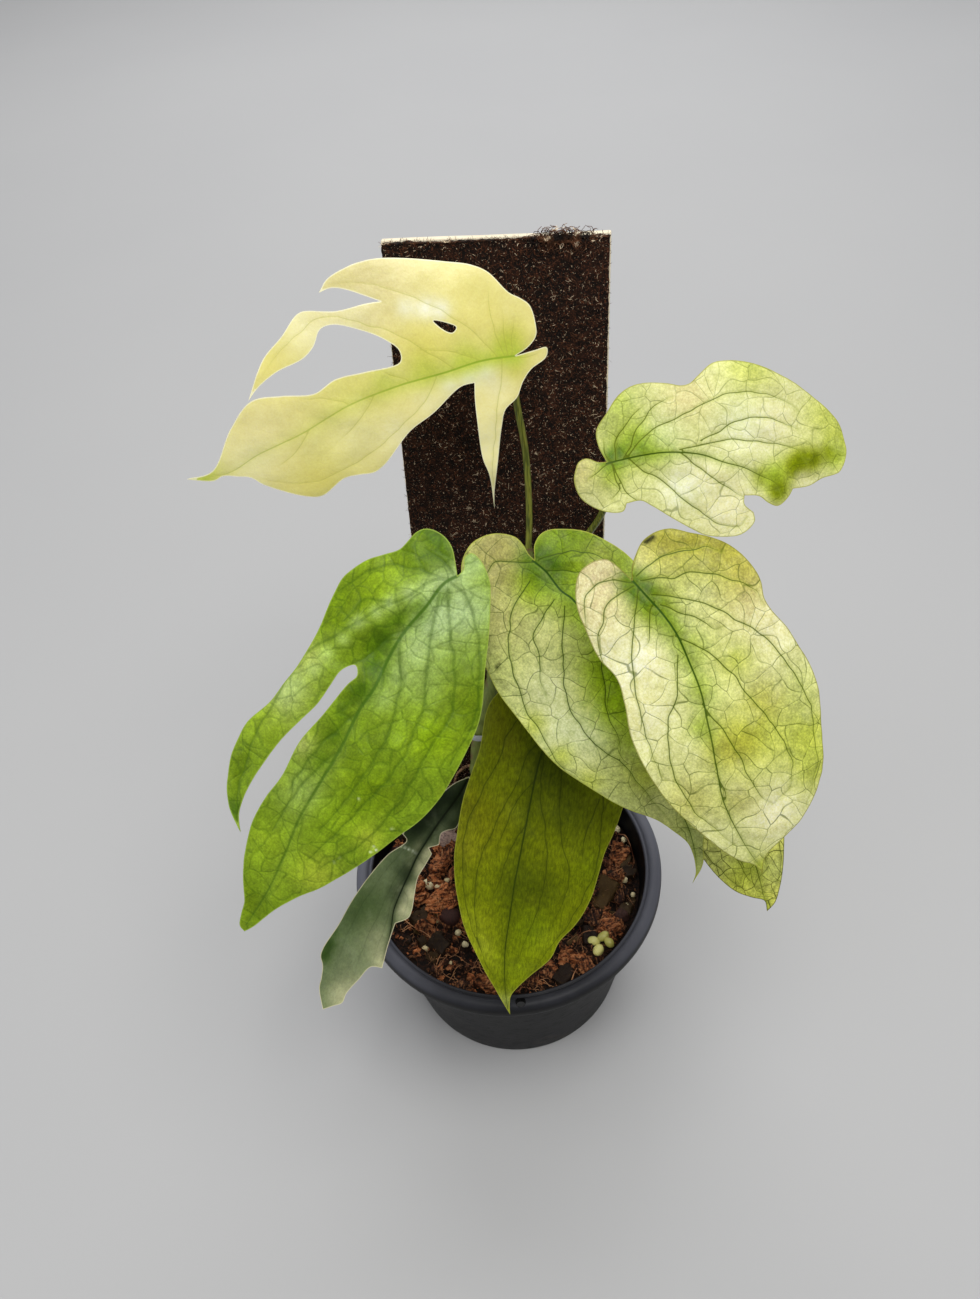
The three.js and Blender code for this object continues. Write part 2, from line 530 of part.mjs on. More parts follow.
function mixBed() {
  const wallAt = (z) => BASE_RADIUS + (WALL_TOP_RADIUS - BASE_RADIUS) * (z / POT_HEIGHT) - POT_WALL;
  const low = FLOOR + 1.6;
  const profile = [[0, FLOOR + CLEAR], [BASE_RADIUS - 4, FLOOR + CLEAR], [wallAt(low) - MIX_INSET, low]];
  profile.push([wallAt(MIX_TOP - 1.5) - MIX_INSET, MIX_TOP - 1.5]);
  for (const r of [50, 38, 25, 12, 0]) profile.push([r, MIX_TOP]);
  const points = profile.map(([r, z]) => new THREE.Vector2(r, z));
  const bed = upright(new THREE.LatheGeometry(points, 32));
  const place = bed.attributes.position;
  for (let i = 0; i < place.count; i += 1) {
    if (place.getZ(i) > MIX_TOP - 1) place.setZ(i, mixTop(place.getX(i), place.getY(i)));
  }
  return bed;
}

function chip(random) {
  const flat = random() < 0.55;
  const lump = flat ? new THREE.BoxGeometry(1, 1, 1) : new THREE.IcosahedronGeometry(0.6, 0);
  const size = CHIP_SIZES[0] + (CHIP_SIZES[1] - CHIP_SIZES[0]) * random();
  lump.scale(size, size * (0.6 + 0.3 * random()), size * (flat ? 0.4 : 0.7));
  lump.rotateX(0.9 * (random() - 0.5));
  lump.rotateY(0.9 * (random() - 0.5));
  lump.rotateZ(Math.PI * random());
  return lump;
}

let mixBody = solid(mixBed());
const random = seeded(41);
for (let i = 0; i < MIX_CHIPS; i += 1) {
  const lump = chip(random);
  const angle = i * CHIP_TURN;
  const r = CHIP_CIRCLE * Math.sqrt((i + 0.7) / MIX_CHIPS);
  const [x, y] = [r * Math.cos(angle), r * Math.sin(angle)];
  mixBody = mixBody.add(solid(lump.translate(x, y, mixTop(x, y) + 0.6)));
}
const slotDepth = FIBRE_DEPTH + CORE_DEPTH + 3 * CLEAR;
const slot = slab(BOARD_WIDTH + 2 * CLEAR, slotDepth, BOARD_FOOT - CLEAR, SLOT_TOP);
slot.translate(0, slotDepth / 2 - CLEAR, 0).applyMatrix4(boardFrame.matrixWorld);
mixBody = mixBody.subtract(solid(slot)).subtract(stemRoomWorld);
plant.add(mesh('potting_mix', surface(mixBody), 'mix'));

export default plant;
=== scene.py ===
import math
import random

import bpy
import numpy as np
from mathutils import Euler, Matrix, Vector, noise
from mathutils.geometry import delaunay_2d_cdt


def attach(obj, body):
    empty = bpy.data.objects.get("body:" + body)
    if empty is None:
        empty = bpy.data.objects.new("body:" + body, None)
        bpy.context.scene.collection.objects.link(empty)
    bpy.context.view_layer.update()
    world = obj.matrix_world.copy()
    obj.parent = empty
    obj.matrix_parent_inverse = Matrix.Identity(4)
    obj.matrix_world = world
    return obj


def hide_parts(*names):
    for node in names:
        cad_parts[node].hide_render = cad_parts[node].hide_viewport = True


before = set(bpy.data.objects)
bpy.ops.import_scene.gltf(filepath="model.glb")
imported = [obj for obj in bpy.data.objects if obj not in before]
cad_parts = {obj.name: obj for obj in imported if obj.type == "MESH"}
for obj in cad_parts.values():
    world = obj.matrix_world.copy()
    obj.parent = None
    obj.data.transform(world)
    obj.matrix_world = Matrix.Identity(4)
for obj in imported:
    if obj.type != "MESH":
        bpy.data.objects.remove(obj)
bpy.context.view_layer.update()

# Camera: held above and in front of the plant, looking down at it, as when someone looks at
# a plant on a low table.
PITCH_DOWN = math.radians(46.03)
ROLL = math.radians(-5.48)
EYE = (0.0012, -0.2151, 0.4266)
FOCAL_PIXELS = 976
PHOTO_HEIGHT = 1299
SENSOR = 36.0
NEAREST_SEEN = 0.01

ahead = Vector((0, math.cos(PITCH_DOWN), -math.sin(PITCH_DOWN)))
level_up = Vector((0, math.sin(PITCH_DOWN), math.cos(PITCH_DOWN)))
level_right = Vector((1, 0, 0))
right = math.cos(ROLL) * level_right + math.sin(ROLL) * level_up
up = math.cos(ROLL) * level_up - math.sin(ROLL) * level_right
turn = Matrix((right, up, -ahead)).transposed()
bpy.ops.object.camera_add(location=EYE, rotation=turn.to_euler())
camera = bpy.context.object
camera.data.sensor_fit = "AUTO"
camera.data.sensor_width = SENSOR
camera.data.lens = FOCAL_PIXELS / PHOTO_HEIGHT * SENSOR
camera.data.clip_start = NEAREST_SEEN
bpy.context.scene.camera = camera

# Light and floor: a wide soft key light high in front, weaker ones from the left and from
# behind, one more for the floor far back, and an even grey surround over a plain pale floor.
PLANT_MIDDLE = (0, 0.02, 0.15)
SURROUND = (0.90, 0.91, 0.93, 1)
SURROUND_STRENGTH = 0.42
FLOOR_SIZE = 12
FLOOR_PLACE = (0, 1.5, -0.0004)


def add_lamp(name, place, size, watts, colour, target=PLANT_MIDDLE):
    bpy.ops.object.light_add(type="AREA", location=place)
    lamp = bpy.context.object
    lamp.name = name
    lamp.data.shape = "DISK"
    lamp.data.size = size
    lamp.data.energy = watts
    lamp.data.color = colour
    aim = Vector(target) - Vector(place)
    lamp.rotation_euler = aim.to_track_quat("-Z", "Y").to_euler()


add_lamp("key_light", (0.22, -0.32, 1.45), size=1.0, watts=17.5, colour=(1.0, 0.99, 0.965))
add_lamp("side_light", (-1.3, -0.4, 0.8), size=0.9, watts=4.5, colour=(0.97, 0.985, 1.0))
add_lamp("back_light", (0.7, 1.5, 1.2), size=1.1, watts=7, colour=(0.98, 0.99, 1.0))
add_lamp("far_light", (-0.2, 1.7, 1.5), size=1.4, watts=19, colour=(1.0, 1.0, 1.0), target=(0, 1.6, 0))

world = bpy.data.worlds.new("pale_surround")
bpy.context.scene.world = world
world.use_nodes = True
surround = world.node_tree.nodes["Background"].inputs
surround["Color"].default_value = SURROUND
surround["Strength"].default_value = SURROUND_STRENGTH
bpy.context.scene.view_settings.view_transform = "Standard"


class Paint:
    """A value, colour or vector in a material; sums and products of it add its Math nodes."""

    def __init__(self, tree, socket=None):
        self.tree = tree
        self.socket = socket

    def node(self, kind, settings, sockets, out=0):
        made = self.tree.nodes.new(kind)
        for name, value in settings.items():
            setattr(made, name, value)
        for name, value in sockets.items():
            if isinstance(value, Paint):
                self.tree.links.new(value.socket, made.inputs[name])
            else:
                made.inputs[name].default_value = value
        return Paint(self.tree, made.outputs[out])

    def maths(self, operation, first, second):
        return self.node("ShaderNodeMath", {"operation": operation}, {0: first, 1: second})

    def __add__(self, other):
        return self.maths("ADD", self, other)

    def __sub__(self, other):
        return self.maths("SUBTRACT", self, other)

    def __rsub__(self, other):
        return self.maths("SUBTRACT", other, self)

    def __mul__(self, other):
        return self.maths("MULTIPLY", self, other)

    __radd__ = __add__
    __rmul__ = __mul__

    def between(self, low, high):
        """0 at low, 1 at high and a soft step between them; low may be the larger one."""
        return self.node(
            "ShaderNodeMapRange",
            {"interpolation_type": "SMOOTHSTEP"},
            {"Value": self, "From Min": low, "From Max": high},
        )

    def mix(self, first, second, factor, blend="MIX"):
        return self.node(
            "ShaderNodeMix",
            {"data_type": "RGBA", "blend_type": blend},
            {0: factor, 6: first, 7: second},
            out=2,
        )

    def scaled(self, factors, shift=(0, 0, 0)):
        return self.node(
            "ShaderNodeVectorMath",
            {"operation": "MULTIPLY_ADD"},
            {0: self, 1: factors, 2: shift},
        )

    def noise(self, vector, scale, detail=2.0, rough=0.5):
        sockets = {"Vector": vector, "Scale": scale, "Detail": detail, "Roughness": rough}
        return self.node("ShaderNodeTexNoise", {}, sockets)

    def cells(self, vector, scale, feature="DISTANCE_TO_EDGE", out=0, dimensions="3D"):
        return self.node(
            "ShaderNodeTexVoronoi",
            {"feature": feature, "voronoi_dimensions": dimensions},
            {"Vector": vector, "Scale": scale},
            out=out,
        )

    def attribute(self, name, out="Fac"):
        return self.node("ShaderNodeAttribute", {"attribute_name": name}, {}, out=out)

    def part(self, colour, out=0, split="ShaderNodeSeparateColor"):
        return self.node(split, {}, {0: colour}, out=out)

    def bump(self, height, distance, strength=1.0):
        return self.node(
            "ShaderNodeBump", {}, {"Height": height, "Distance": distance, "Strength": strength}
        )


def srgb(red, green, blue):
    """A colour as it looks on a screen, 0 to 255, as the linear one that materials take."""
    channels = [c / 255 for c in (red, green, blue)]
    linear = [c / 12.92 if c <= 0.04045 else ((c + 0.055) / 1.055) ** 2.4 for c in channels]
    return (*linear, 1.0)


def new_finish(name):
    """A material, the Paint that draws on its nodes, and the place on the object, in metres."""
    material = bpy.data.materials.new(name)
    material.use_nodes = True
    paint = Paint(material.node_tree)
    return material, paint, paint.node("ShaderNodeTexCoord", {}, {}, out="Object")


def set_finish(paint, **sockets):
    """Gives the shader its values: plain ones, or what the Paint has made."""
    shader = paint.tree.nodes["Principled BSDF"]
    for name, value in sockets.items():
        socket = shader.inputs[name.replace("_", " ")]
        if isinstance(value, Paint):
            paint.tree.links.new(value.socket, socket)
        else:
            socket.default_value = value


bpy.ops.mesh.primitive_plane_add(size=FLOOR_SIZE, location=FLOOR_PLACE)
floor = bpy.context.object
floor.name = "pale_floor"
floor_finish, paint, where = new_finish("pale_floor")
greys = paint.mix(srgb(168, 168, 168), srgb(161, 161, 162), paint.noise(where, 2.2, 4))
set_finish(paint, Base_Color=greys, Roughness=0.75)
floor.data.materials.append(floor_finish)

# Pot: a black nursery pot, injection-moulded in thin plastic with a broad rim. The wall runs up
# in a plain taper, the rim stands out over it, and its inner lip has a narrow groove round it.
MM = 0.001
POT_SIDES = 144
POT_RINGS = [
    (41.5, 0.8), (42.6, 0.7), (43.4, 0.1), (44.2, 0), (45.6, 0.2), (46.3, 1.0), (46.7, 2.4),
    (49.0, 18), (51.9, 38), (54.4, 56), (56.6, 70.5), (56.9, 72.6), (57.2, 74.2), (60.3, 74.2),
    (60.9, 73.8), (61.1, 72.6), (61.4, 72.2), (61.9, 72.1), (62.3, 72.4), (62.5, 73.1),
    (62.5, 74.6), (62.45, 76.0), (62.1, 77.0), (61.5, 77.8), (60.6, 78.25), (59.6, 78.4),
    (58.6, 78.25), (57.95, 77.8), (57.7, 77.2), (57.45, 76.9), (57.15, 77.0), (56.9, 77.25),
    (56.5, 77.3), (56.15, 77.0), (56.0, 76.3), (55.8, 74.5), (53.6, 60), (51.0, 40), (47.6, 16),
    (45.4, 3.4), (44.8, 2.6), (43.8, 2.2), (30, 2.2),
]
DRAIN_HOLES = 8
DRAIN_RADIUS = 4.0
DRAIN_CIRCLE = 30.0
HANGER_HOLES = 3
HANGER_RADIUS = 1.9
HANGER_CIRCLE = 59.6
TURN = 2 * math.pi
FIRST_HOLE = -TURN / 4


def pick(made):
    """Makes an object the only one that is selected, and the active one."""
    bpy.ops.object.select_all(action="DESELECT")
    made.select_set(True)
    bpy.context.view_layer.objects.active = made


def piece(name, material, slot_name, *nodes, angle=None):
    """Names the active object, gives it its finish and its body, and hides the model's parts that it stands
    for.
    With an angle, in degrees, the skin is shaded smooth except over edges sharper than that.
    """
    made = bpy.context.object
    made.name = name
    made.data.name = name
    made.data.materials.clear()
    made.data.materials.append(material)
    pick(made)
    bpy.ops.object.transform_apply(location=True, rotation=True, scale=True)
    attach(made, "root")
    if nodes:
        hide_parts(*nodes)
    if angle:
        bpy.ops.object.shade_smooth_by_angle(angle=math.radians(angle))


def modify(thing, kind, **settings):
    """Gives the active object a modifier, sets it and applies it."""
    modifier = thing.modifiers.new(kind.lower(), kind)
    for name, value in settings.items():
        setattr(modifier, name, value)
    bpy.ops.object.modifier_apply(modifier=modifier.name)


def end_edit():
    """Turns all faces of the mesh in edit mode outward, and leaves that mode."""
    bpy.ops.mesh.select_all(action="SELECT")
    bpy.ops.mesh.normals_make_consistent(inside=False)
    bpy.ops.object.mode_set(mode="OBJECT")


def turn_rings(rings, sides):
    """A closed round body, pulled up ring by ring from a disc; each ring is (radius, height)."""
    radius, height = rings[0]
    bpy.ops.mesh.primitive_circle_add(
        vertices=sides, radius=radius * MM, fill_type="NGON", location=(0, 0, height * MM)
    )
    bpy.ops.object.mode_set(mode="EDIT")
    for next_radius, next_height in rings[1:]:
        lift = (0, 0, (next_height - height) * MM)
        bpy.ops.mesh.extrude_region_move(TRANSFORM_OT_translate={"value": lift})
        grow = next_radius / radius
        bpy.ops.transform.resize(value=(grow, grow, 1), center_override=(0, 0, next_height * MM))
        radius, height = next_radius, next_height
    end_edit()
    bpy.ops.object.transform_apply(location=True, rotation=True, scale=True)
    return bpy.context.object


def drill(body, count, circle, radius, low, high):
    """Round holes through a body, evenly round a circle."""
    drills = []
    for i in range(count):
        angle = FIRST_HOLE + TURN * i / count
        place = (circle * math.cos(angle) * MM, circle * math.sin(angle) * MM, (low + high) / 2 * MM)
        bpy.ops.mesh.primitive_cylinder_add(
            vertices=24, radius=radius * MM, depth=(high - low) * MM, location=place
        )
        drills.append(bpy.context.object)
    bpy.context.view_layer.objects.active = body
    for bit in drills:
        modify(body, "BOOLEAN", object=bit, solver="EXACT")
        bpy.data.objects.remove(bit)


pot_body = turn_rings(POT_RINGS, POT_SIDES)
drill(pot_body, DRAIN_HOLES, DRAIN_CIRCLE, DRAIN_RADIUS, low=-1, high=4)
drill(pot_body, HANGER_HOLES, HANGER_CIRCLE, HANGER_RADIUS, low=69, high=80)

pot_finish, paint, where = new_finish("black_pot_plastic")
height = paint.part(where, 2, "ShaderNodeSeparateXYZ")
aside = paint.part(where, 0, "ShaderNodeSeparateXYZ")
dust = paint.noise(where, 60, 5, 0.6)
streak = paint.noise(where.scaled((1, 1, 0.12)), 700, 2)
scuff = paint.noise(where.scaled((1, 1, 4)), 260, 4, 0.65)
bloom = dust.between(0.45, 0.75) * 0.35 + scuff.between(0.62, 0.75) * 0.3
rim_top = height.between(0.0752, 0.0778)
# The rim's top is painted lighter toward its left and right sides, a painted reflection, and a little
# lighter all round with dust.
side_reflection_and_dust = (aside * aside).between(0.0003, 0.0034) * 0.85 + 0.2 * dust + 0.03
plastic = paint.mix(srgb(5, 5, 6), srgb(31, 32, 36), bloom)
plastic = paint.mix(plastic, srgb(94, 95, 104), rim_top * side_reflection_and_dust)
low_dust = dust.between(0.6, 0.8) * height.between(0.03, 0.0) * 0.4
plastic = paint.mix(plastic, srgb(92, 80, 68), low_dust)
# Inside the hanger holes the plastic is painted black, as painted shade in the holes, and made fully rough.
bored = 0
for k in range(HANGER_HOLES):
    turned = FIRST_HOLE + TURN * k / HANGER_HOLES
    centre = (-HANGER_CIRCLE * MM * math.cos(turned), -HANGER_CIRCLE * MM * math.sin(turned), 0)
    off_axis = paint.node(
        "ShaderNodeVectorMath", {"operation": "LENGTH"}, {0: where.scaled((1, 1, 0), centre)}, out=1
    )
    in_hole = off_axis.between((HANGER_RADIUS + 0.1) * MM, HANGER_RADIUS * MM)
    plastic = paint.mix(plastic, srgb(0, 0, 0), in_hole)
    bored = in_hole + bored
set_finish(
    paint,
    Base_Color=plastic,
    Roughness=0.4 + 0.16 * dust + 0.1 * scuff.between(0.5, 0.7) + bored,
    Normal=paint.bump(streak * 0.4 + scuff * 0.6, 0.00012, 0.6),
    Specular_IOR_Level=0.15,
)
piece("nursery_pot", pot_finish, "pot", "pot", angle=40)

# Potting mix: a bed of dark crumb and dust that fills the pot to just under the rim and is
# pressed down round the board and the stem. Its humped top carries the loose chips and grains.
BED_TOP = 64.4
BED_RADIUS = 54.1
BED_SIDES = 144
BED_STEPS = 44
BED_EDGE_RISE = 1.2
BED_WALL = [(42, 2.6), (44.5, 3.6), (47, 16), (BED_RADIUS - 0.4, BED_TOP - 4), (BED_RADIUS, BED_TOP)]
SURFACE_DEPTH = 3.0
HUMPS = ((5.0, 9.0), (2.2, 2.6))


def roughen(thing, depth, grain, seed, detail=2, **settings):
    """Pushes a skin in and out by a cloudy pattern, as tears and grains do; sizes in metres."""
    cloud = bpy.data.textures.new("tears", "CLOUDS")
    cloud.noise_scale = grain
    cloud.noise_depth = detail
    thing.location = (seed, 0, 0)
    bpy.context.view_layer.update()
    modify(thing, "DISPLACE", texture=cloud, texture_coords="GLOBAL", strength=depth, **settings)
    thing.location = (0, 0, 0)
    bpy.data.textures.remove(cloud)


bed_rings = BED_WALL + [
    (BED_RADIUS * (1 - i / BED_STEPS), BED_TOP + BED_EDGE_RISE * ((1 - i / BED_STEPS) ** 4 - 1))
    for i in range(1, BED_STEPS)
]
bed = turn_rings(bed_rings, BED_SIDES)
surface = bed.vertex_groups.new(name="surface")
loose = [v.index for v in bed.data.vertices if v.co.z > (BED_TOP - SURFACE_DEPTH) * MM]
surface.add(loose, 1.0, "REPLACE")
for depth, grain in HUMPS:
    roughen(bed, depth * MM, grain * MM, seed=0.4, vertex_group="surface", direction="Z")


def ground_at(x, y):
    """Height of the mix at a place, in millimetres, felt for from above."""
    hit, place, _, _ = bed.ray_cast((x * MM, y * MM, 0.1), (0, 0, -1))
    return place.z / MM if hit else BED_TOP


bed_finish, paint, where = new_finish("dark_mix")
fine = paint.noise(where, 900, 6, 0.7)
lumps = paint.cells(where, 420, "F1")
soil = paint.mix(srgb(10, 6, 4), srgb(52, 29, 16), fine.between(0.4, 0.7))
set_finish(
    paint,
    Base_Color=paint.mix(soil, srgb(96, 56, 34), lumps.between(0.26, 0.1) * 0.3),
    Roughness=0.94,
    Normal=paint.bump(fine + lumps * 0.6, 0.0008),
    Specular_IOR_Level=0.25,
)
piece("mix_bed", bed_finish, "potting_mix", "potting_mix", angle=60)

# Husk chips: torn, fibrous lumps of reddish coconut husk, chopped and strewn loose over the
# mix. Toward the right they are painted darker, as painted shade.
HUSK_SPOTS = [
    (-27.5, -9.5, 13, 1), (-35, -20.5, 9, 0.4), (-31.5, 1.5, 6, 0.8), (-24, 3, 8, 0.4),
    (-29, 9.5, 9, 0.6), (-38.5, 1.5, 9, 0.9), (-23, 15, 8, 0.4), (-38, -6, 7, 0.4), (-20, -20, 8, 0.4),
    (22.5, -38.5, 10, 0.75), (38.5, -27, 9, 0.75), (45, -13, 7, 0.15), (47.5, 6.5, 8, 0.8),
    (44, 2, 7, 0.5), (33, -22, 7, 0.2), (13, -44, 8, 0.3), (28, -44.5, 7, 0.5), (41, 14, 8, 0.7),
    (-10, -45, 10, 0.5), (3, -40, 9, 0.35), (-44, 8, 8, 0.5),
]
RIGHT_SHADE = 0.009
WALL_GAP = 0.7
BOARD_HALF = 38
BOARD_BAND = (24, 39)
STEM_SPOT = (-10, 20)
STEM_ROOM = 5
rng = random.Random(12)


def place_new(name, data):
    """Puts a new mesh or curve into the scene as the picked object."""
    made = bpy.data.objects.new(name, data)
    bpy.context.collection.objects.link(made)
    pick(made)
    return made


def take_shape(source):
    """The corners and faces of a modelled lump, for copying; the lump itself is removed."""
    corners = np.array([v.co[:] for v in source.data.vertices])
    faces = [tuple(p.vertices) for p in source.data.polygons]
    bpy.data.objects.remove(source)
    return corners, faces


def broken_lump(size, tear, grain, seed, cuts=6):
    """A torn lump: a block cut up by fractal moves, then roughened all over."""
    bpy.ops.mesh.primitive_cube_add(size=1, scale=size)
    bpy.ops.object.transform_apply(scale=True)
    bpy.ops.object.mode_set(mode="EDIT")
    bpy.ops.mesh.subdivide(number_cuts=cuts, fractal=tear, seed=seed)
    bpy.ops.object.mode_set(mode="OBJECT")
    lump = bpy.context.object
    modify(lump, "SMOOTH", factor=0.5)
    if grain:
        roughen(lump, 0.5, 0.5, seed=3.0 * seed, detail=1)
        roughen(lump, grain, 0.13, seed=5.0 * seed)
    return take_shape(lump)


def strew(name, shapes, places, material, angle):
    """Copies of modelled lumps in one mesh. A place is (x, y, z, size, turns, tone), in mm.
    A lump that would reach past the wall is drawn back toward the middle.
    """
    corners = []
    faces = []
    tones = []
    count = 0
    for i, (x, y, z, size, turns, tone) in enumerate(places):
        shape, its_faces = shapes[i % len(shapes)]
        spin = np.array(Euler(turns).to_matrix())
        lump = shape * size @ spin.T + np.array((x, y, z))
        reach = np.hypot(lump[:, 0], lump[:, 1]).max()
        if reach > BED_RADIUS - WALL_GAP:
            lump[:, :2] -= (reach - BED_RADIUS + WALL_GAP) / math.hypot(x, y) * np.array((x, y))
        corners.append(lump)
        faces += [tuple(count + k for k in face) for face in its_faces]
        tones += [tone] * len(shape)
        count += len(shape)
    mesh = bpy.data.meshes.new(name)
    mesh.from_pydata(np.vstack(corners) * MM, [], faces)
    mesh.attributes.new("tone", "FLOAT", "POINT").data.foreach_set("value", tones)
    place_new(name, mesh)
    piece(name, material, "potting_mix", angle=angle)


def free_spot(margin):
    """A random place on the mix that the board and the stem leave free."""
    while True:
        angle = rng.uniform(0, TURN)
        r = (BED_RADIUS - margin) * math.sqrt(rng.random())
        x, y = r * math.cos(angle), r * math.sin(angle)
        under_board = BOARD_BAND[0] < y < BOARD_BAND[1] and abs(x) < BOARD_HALF
        at_stem = math.hypot(x - STEM_SPOT[0], y - STEM_SPOT[1]) < STEM_ROOM
        if not under_board and not at_stem:
            return x, y


def random_turns(tilt):
    return (rng.uniform(-tilt, tilt), rng.uniform(-tilt, tilt), rng.uniform(0, TURN))


def random_places(count, smallest, largest, tilt, sink, margin=4):
    places = []
    for _ in range(count):
        x, y = free_spot(margin)
        size = smallest + (largest - smallest) * rng.random() ** 2
        places.append((x, y, ground_at(x, y) + size * sink, size, random_turns(tilt), rng.random()))
    return places


def set_places(spots, tilt, sink):
    """Places chosen one by one: each spot is (x, y, size, tone)."""
    return [
        (x, y, ground_at(x, y) + size * sink, size, random_turns(tilt), tone)
        for x, y, size, tone in spots
    ]


def shaded_toward_right(places):
    """The same places, each painted darker, as shade, the further it lies toward the right."""
    return [(*place[:5], place[5] * (1 - RIGHT_SHADE * max(place[0], 0))) for place in places]


husk_shapes = [
    broken_lump((1, 0.8, 0.5), tear=0.5, grain=0.3, seed=3),
    broken_lump((1, 0.6, 0.35), tear=0.6, grain=0.25, seed=8),
    broken_lump((0.9, 0.9, 0.7), tear=0.8, grain=0.4, seed=5),
    broken_lump((1.2, 0.45, 0.3), tear=0.4, grain=0.2, seed=9),
]
husk_finish, paint, where = new_finish("coconut_husk")
tone = paint.attribute("tone")
pith = paint.noise(where, 560, 6, 0.72)
crosswise = paint.noise(where.scaled((1, 0.14, 1)), 1050, 3, 0.6)
lengthwise = paint.noise(where.scaled((0.14, 1, 1)), 1050, 3, 0.6)
strand = paint.mix(crosswise, lengthwise, tone.between(0.45, 0.46))
strand = paint.part(strand)
husk = paint.mix(srgb(50, 25, 14), srgb(188, 108, 60), (tone * 0.9 + pith * 0.6).between(0.3, 1.2))
husk = paint.mix(husk, srgb(214, 148, 98), strand.between(0.5, 0.62) * (0.35 + tone * 0.5))
husk = paint.mix(husk, srgb(28, 13, 8), strand.between(0.49, 0.4) * 0.85)
set_finish(
    paint,
    Base_Color=paint.mix(husk, srgb(22, 11, 6), pith.between(0.52, 0.4) * 0.85),
    Roughness=0.9,
    Normal=paint.bump(pith + strand * 0.8, 0.0009),
    Specular_IOR_Level=0.3,
)
husks = set_places(HUSK_SPOTS, tilt=0.5, sink=0.16)
husks += random_places(70, smallest=3, largest=8, tilt=0.9, sink=0.1)
strew("husk_chips", husk_shapes, shaded_toward_right(husks), husk_finish, angle=40)

# Bark chips: flat dark pieces of tree bark, built up in thin layers, broken small and strewn
# loose between the husk.
bark_shapes = [
    broken_lump((1, 0.7, 0.3), tear=0.3, grain=0.14, seed=14, cuts=5),
    broken_lump((1.1, 0.5, 0.25), tear=0.35, grain=0.14, seed=21, cuts=5),
    broken_lump((0.8, 0.8, 0.45), tear=0.5, grain=0.2, seed=17, cuts=5),
]
BARK_SPOTS = [
    (38.5, -11, 12, 0.9), (48, -3, 10, 0.35), (-37.5, -15, 10, 0.5), (30, -30, 8, 0.2),
    (50, -19, 8, 0.6), (-31, -27, 9, 0.3), (18, -46, 8, 0.2), (42, 24, 9, 0.5),
]
bark_finish, paint, where = new_finish("dark_bark")
tone = paint.attribute("tone")
layers = paint.noise(where.scaled((1, 1, 3.5)), 520, 5, 0.65)
bark = paint.mix(srgb(28, 16, 9), srgb(80, 60, 30), (tone * 0.7 + layers * 0.6).between(0.35, 1.1))
set_finish(
    paint,
    Base_Color=paint.mix(bark, srgb(104, 82, 34), layers.between(0.56, 0.75) * tone * 0.6),
    Roughness=0.6,
    Specular_IOR_Level=0.2,
    Normal=paint.bump(layers, 0.0006),
)
barks = set_places(BARK_SPOTS, tilt=0.35, sink=0.1)
barks += random_places(70, smallest=3, largest=8, tilt=0.7, sink=0.08)
strew("bark_chips", bark_shapes, barks, bark_finish, angle=45)

# Stones: rounded volcanic stones, from wine red to a dull pink, worn smooth and half sunk in
# the mix.
STONE_SPOTS = [(-25.5, -15.5, 8.5, 0.1), (-24.5, 22, 9.5, 0.95), (44, -22, 6, 0.2), (-17, 27, 7, 0.7)]


def worn_pebble(dent, seed, fineness=3):
    """A round stone: a ball dented by a slow and a quick pattern."""
    bpy.ops.mesh.primitive_ico_sphere_add(subdivisions=fineness, radius=0.5)
    ball = bpy.context.object
    roughen(ball, dent, 0.6, seed=3.0 * seed, detail=0)
    roughen(ball, 0.3 * dent, 0.2, seed=7.0 * seed, detail=1)
    return take_shape(ball)


stone_shapes = [worn_pebble(dent, seed) for dent, seed in ((0.4, 2), (0.45, 7), (0.35, 11))]
stone_finish, paint, where = new_finish("volcanic_stone")
tone = paint.attribute("tone")
grit = paint.noise(where, 1100, 5, 0.6)
stone = paint.mix(srgb(58, 30, 24), srgb(172, 146, 134), tone * tone)
set_finish(
    paint,
    Base_Color=paint.mix(stone, srgb(26, 18, 16), grit.between(0.55, 0.35) * 0.6),
    Roughness=0.7,
    Normal=paint.bump(grit, 0.0003),
    Specular_IOR_Level=0.25,
)
stones = set_places(STONE_SPOTS, tilt=0.4, sink=0.16)
stones += random_places(16, smallest=3, largest=6.5, tilt=0.8, sink=0.1)
strew("stones", stone_shapes, stones, stone_finish, angle=60)

# Pumice: small cream grains of foamed volcanic glass with open pores, which lie loose on top
# and gather along the wall.
grain_shapes = [worn_pebble(dent, seed, fineness=2) for dent, seed in ((0.6, 3), (0.7, 9), (0.5, 15))]
GRAIN_SPOTS = [
    (-33.9, 0.6, 4.2, 0.9), (-29.8, -1.2, 2.8, 0.7), (-22.4, -22.5, 2.7, 0.7), (-19.8, -28, 2.4, 0.8),
    (-35.8, -27.6, 2.6, 0.5), (50.8, 19.3, 3.4, 1), (51.3, 13.1, 2.4, 1), (51.8, 9.9, 2.2, 0.9),
    (50, -13, 2.2, 0.7), (-26, 1.5, 2, 0.5), (47, -17, 1.8, 0.7), (25, -41, 1.8, 0.4),
]
grain_finish, paint, where = new_finish("pumice")
tone = paint.attribute("tone")
pores = paint.cells(where, 1500, "F1")
pumice = paint.mix(srgb(176, 146, 84), srgb(246, 234, 190), tone)
set_finish(
    paint,
    Base_Color=paint.mix(pumice, srgb(110, 84, 52), pores.between(0.25, 0.1) * 0.6),
    Roughness=0.85,
    Normal=paint.bump(pores, 0.0004),
)
grains = set_places(GRAIN_SPOTS, tilt=1.0, sink=0.4)
grains += random_places(36, smallest=1, largest=2.4, tilt=1.5, sink=0.3)
strew("pumice_grains", grain_shapes, grains, grain_finish, angle=60)

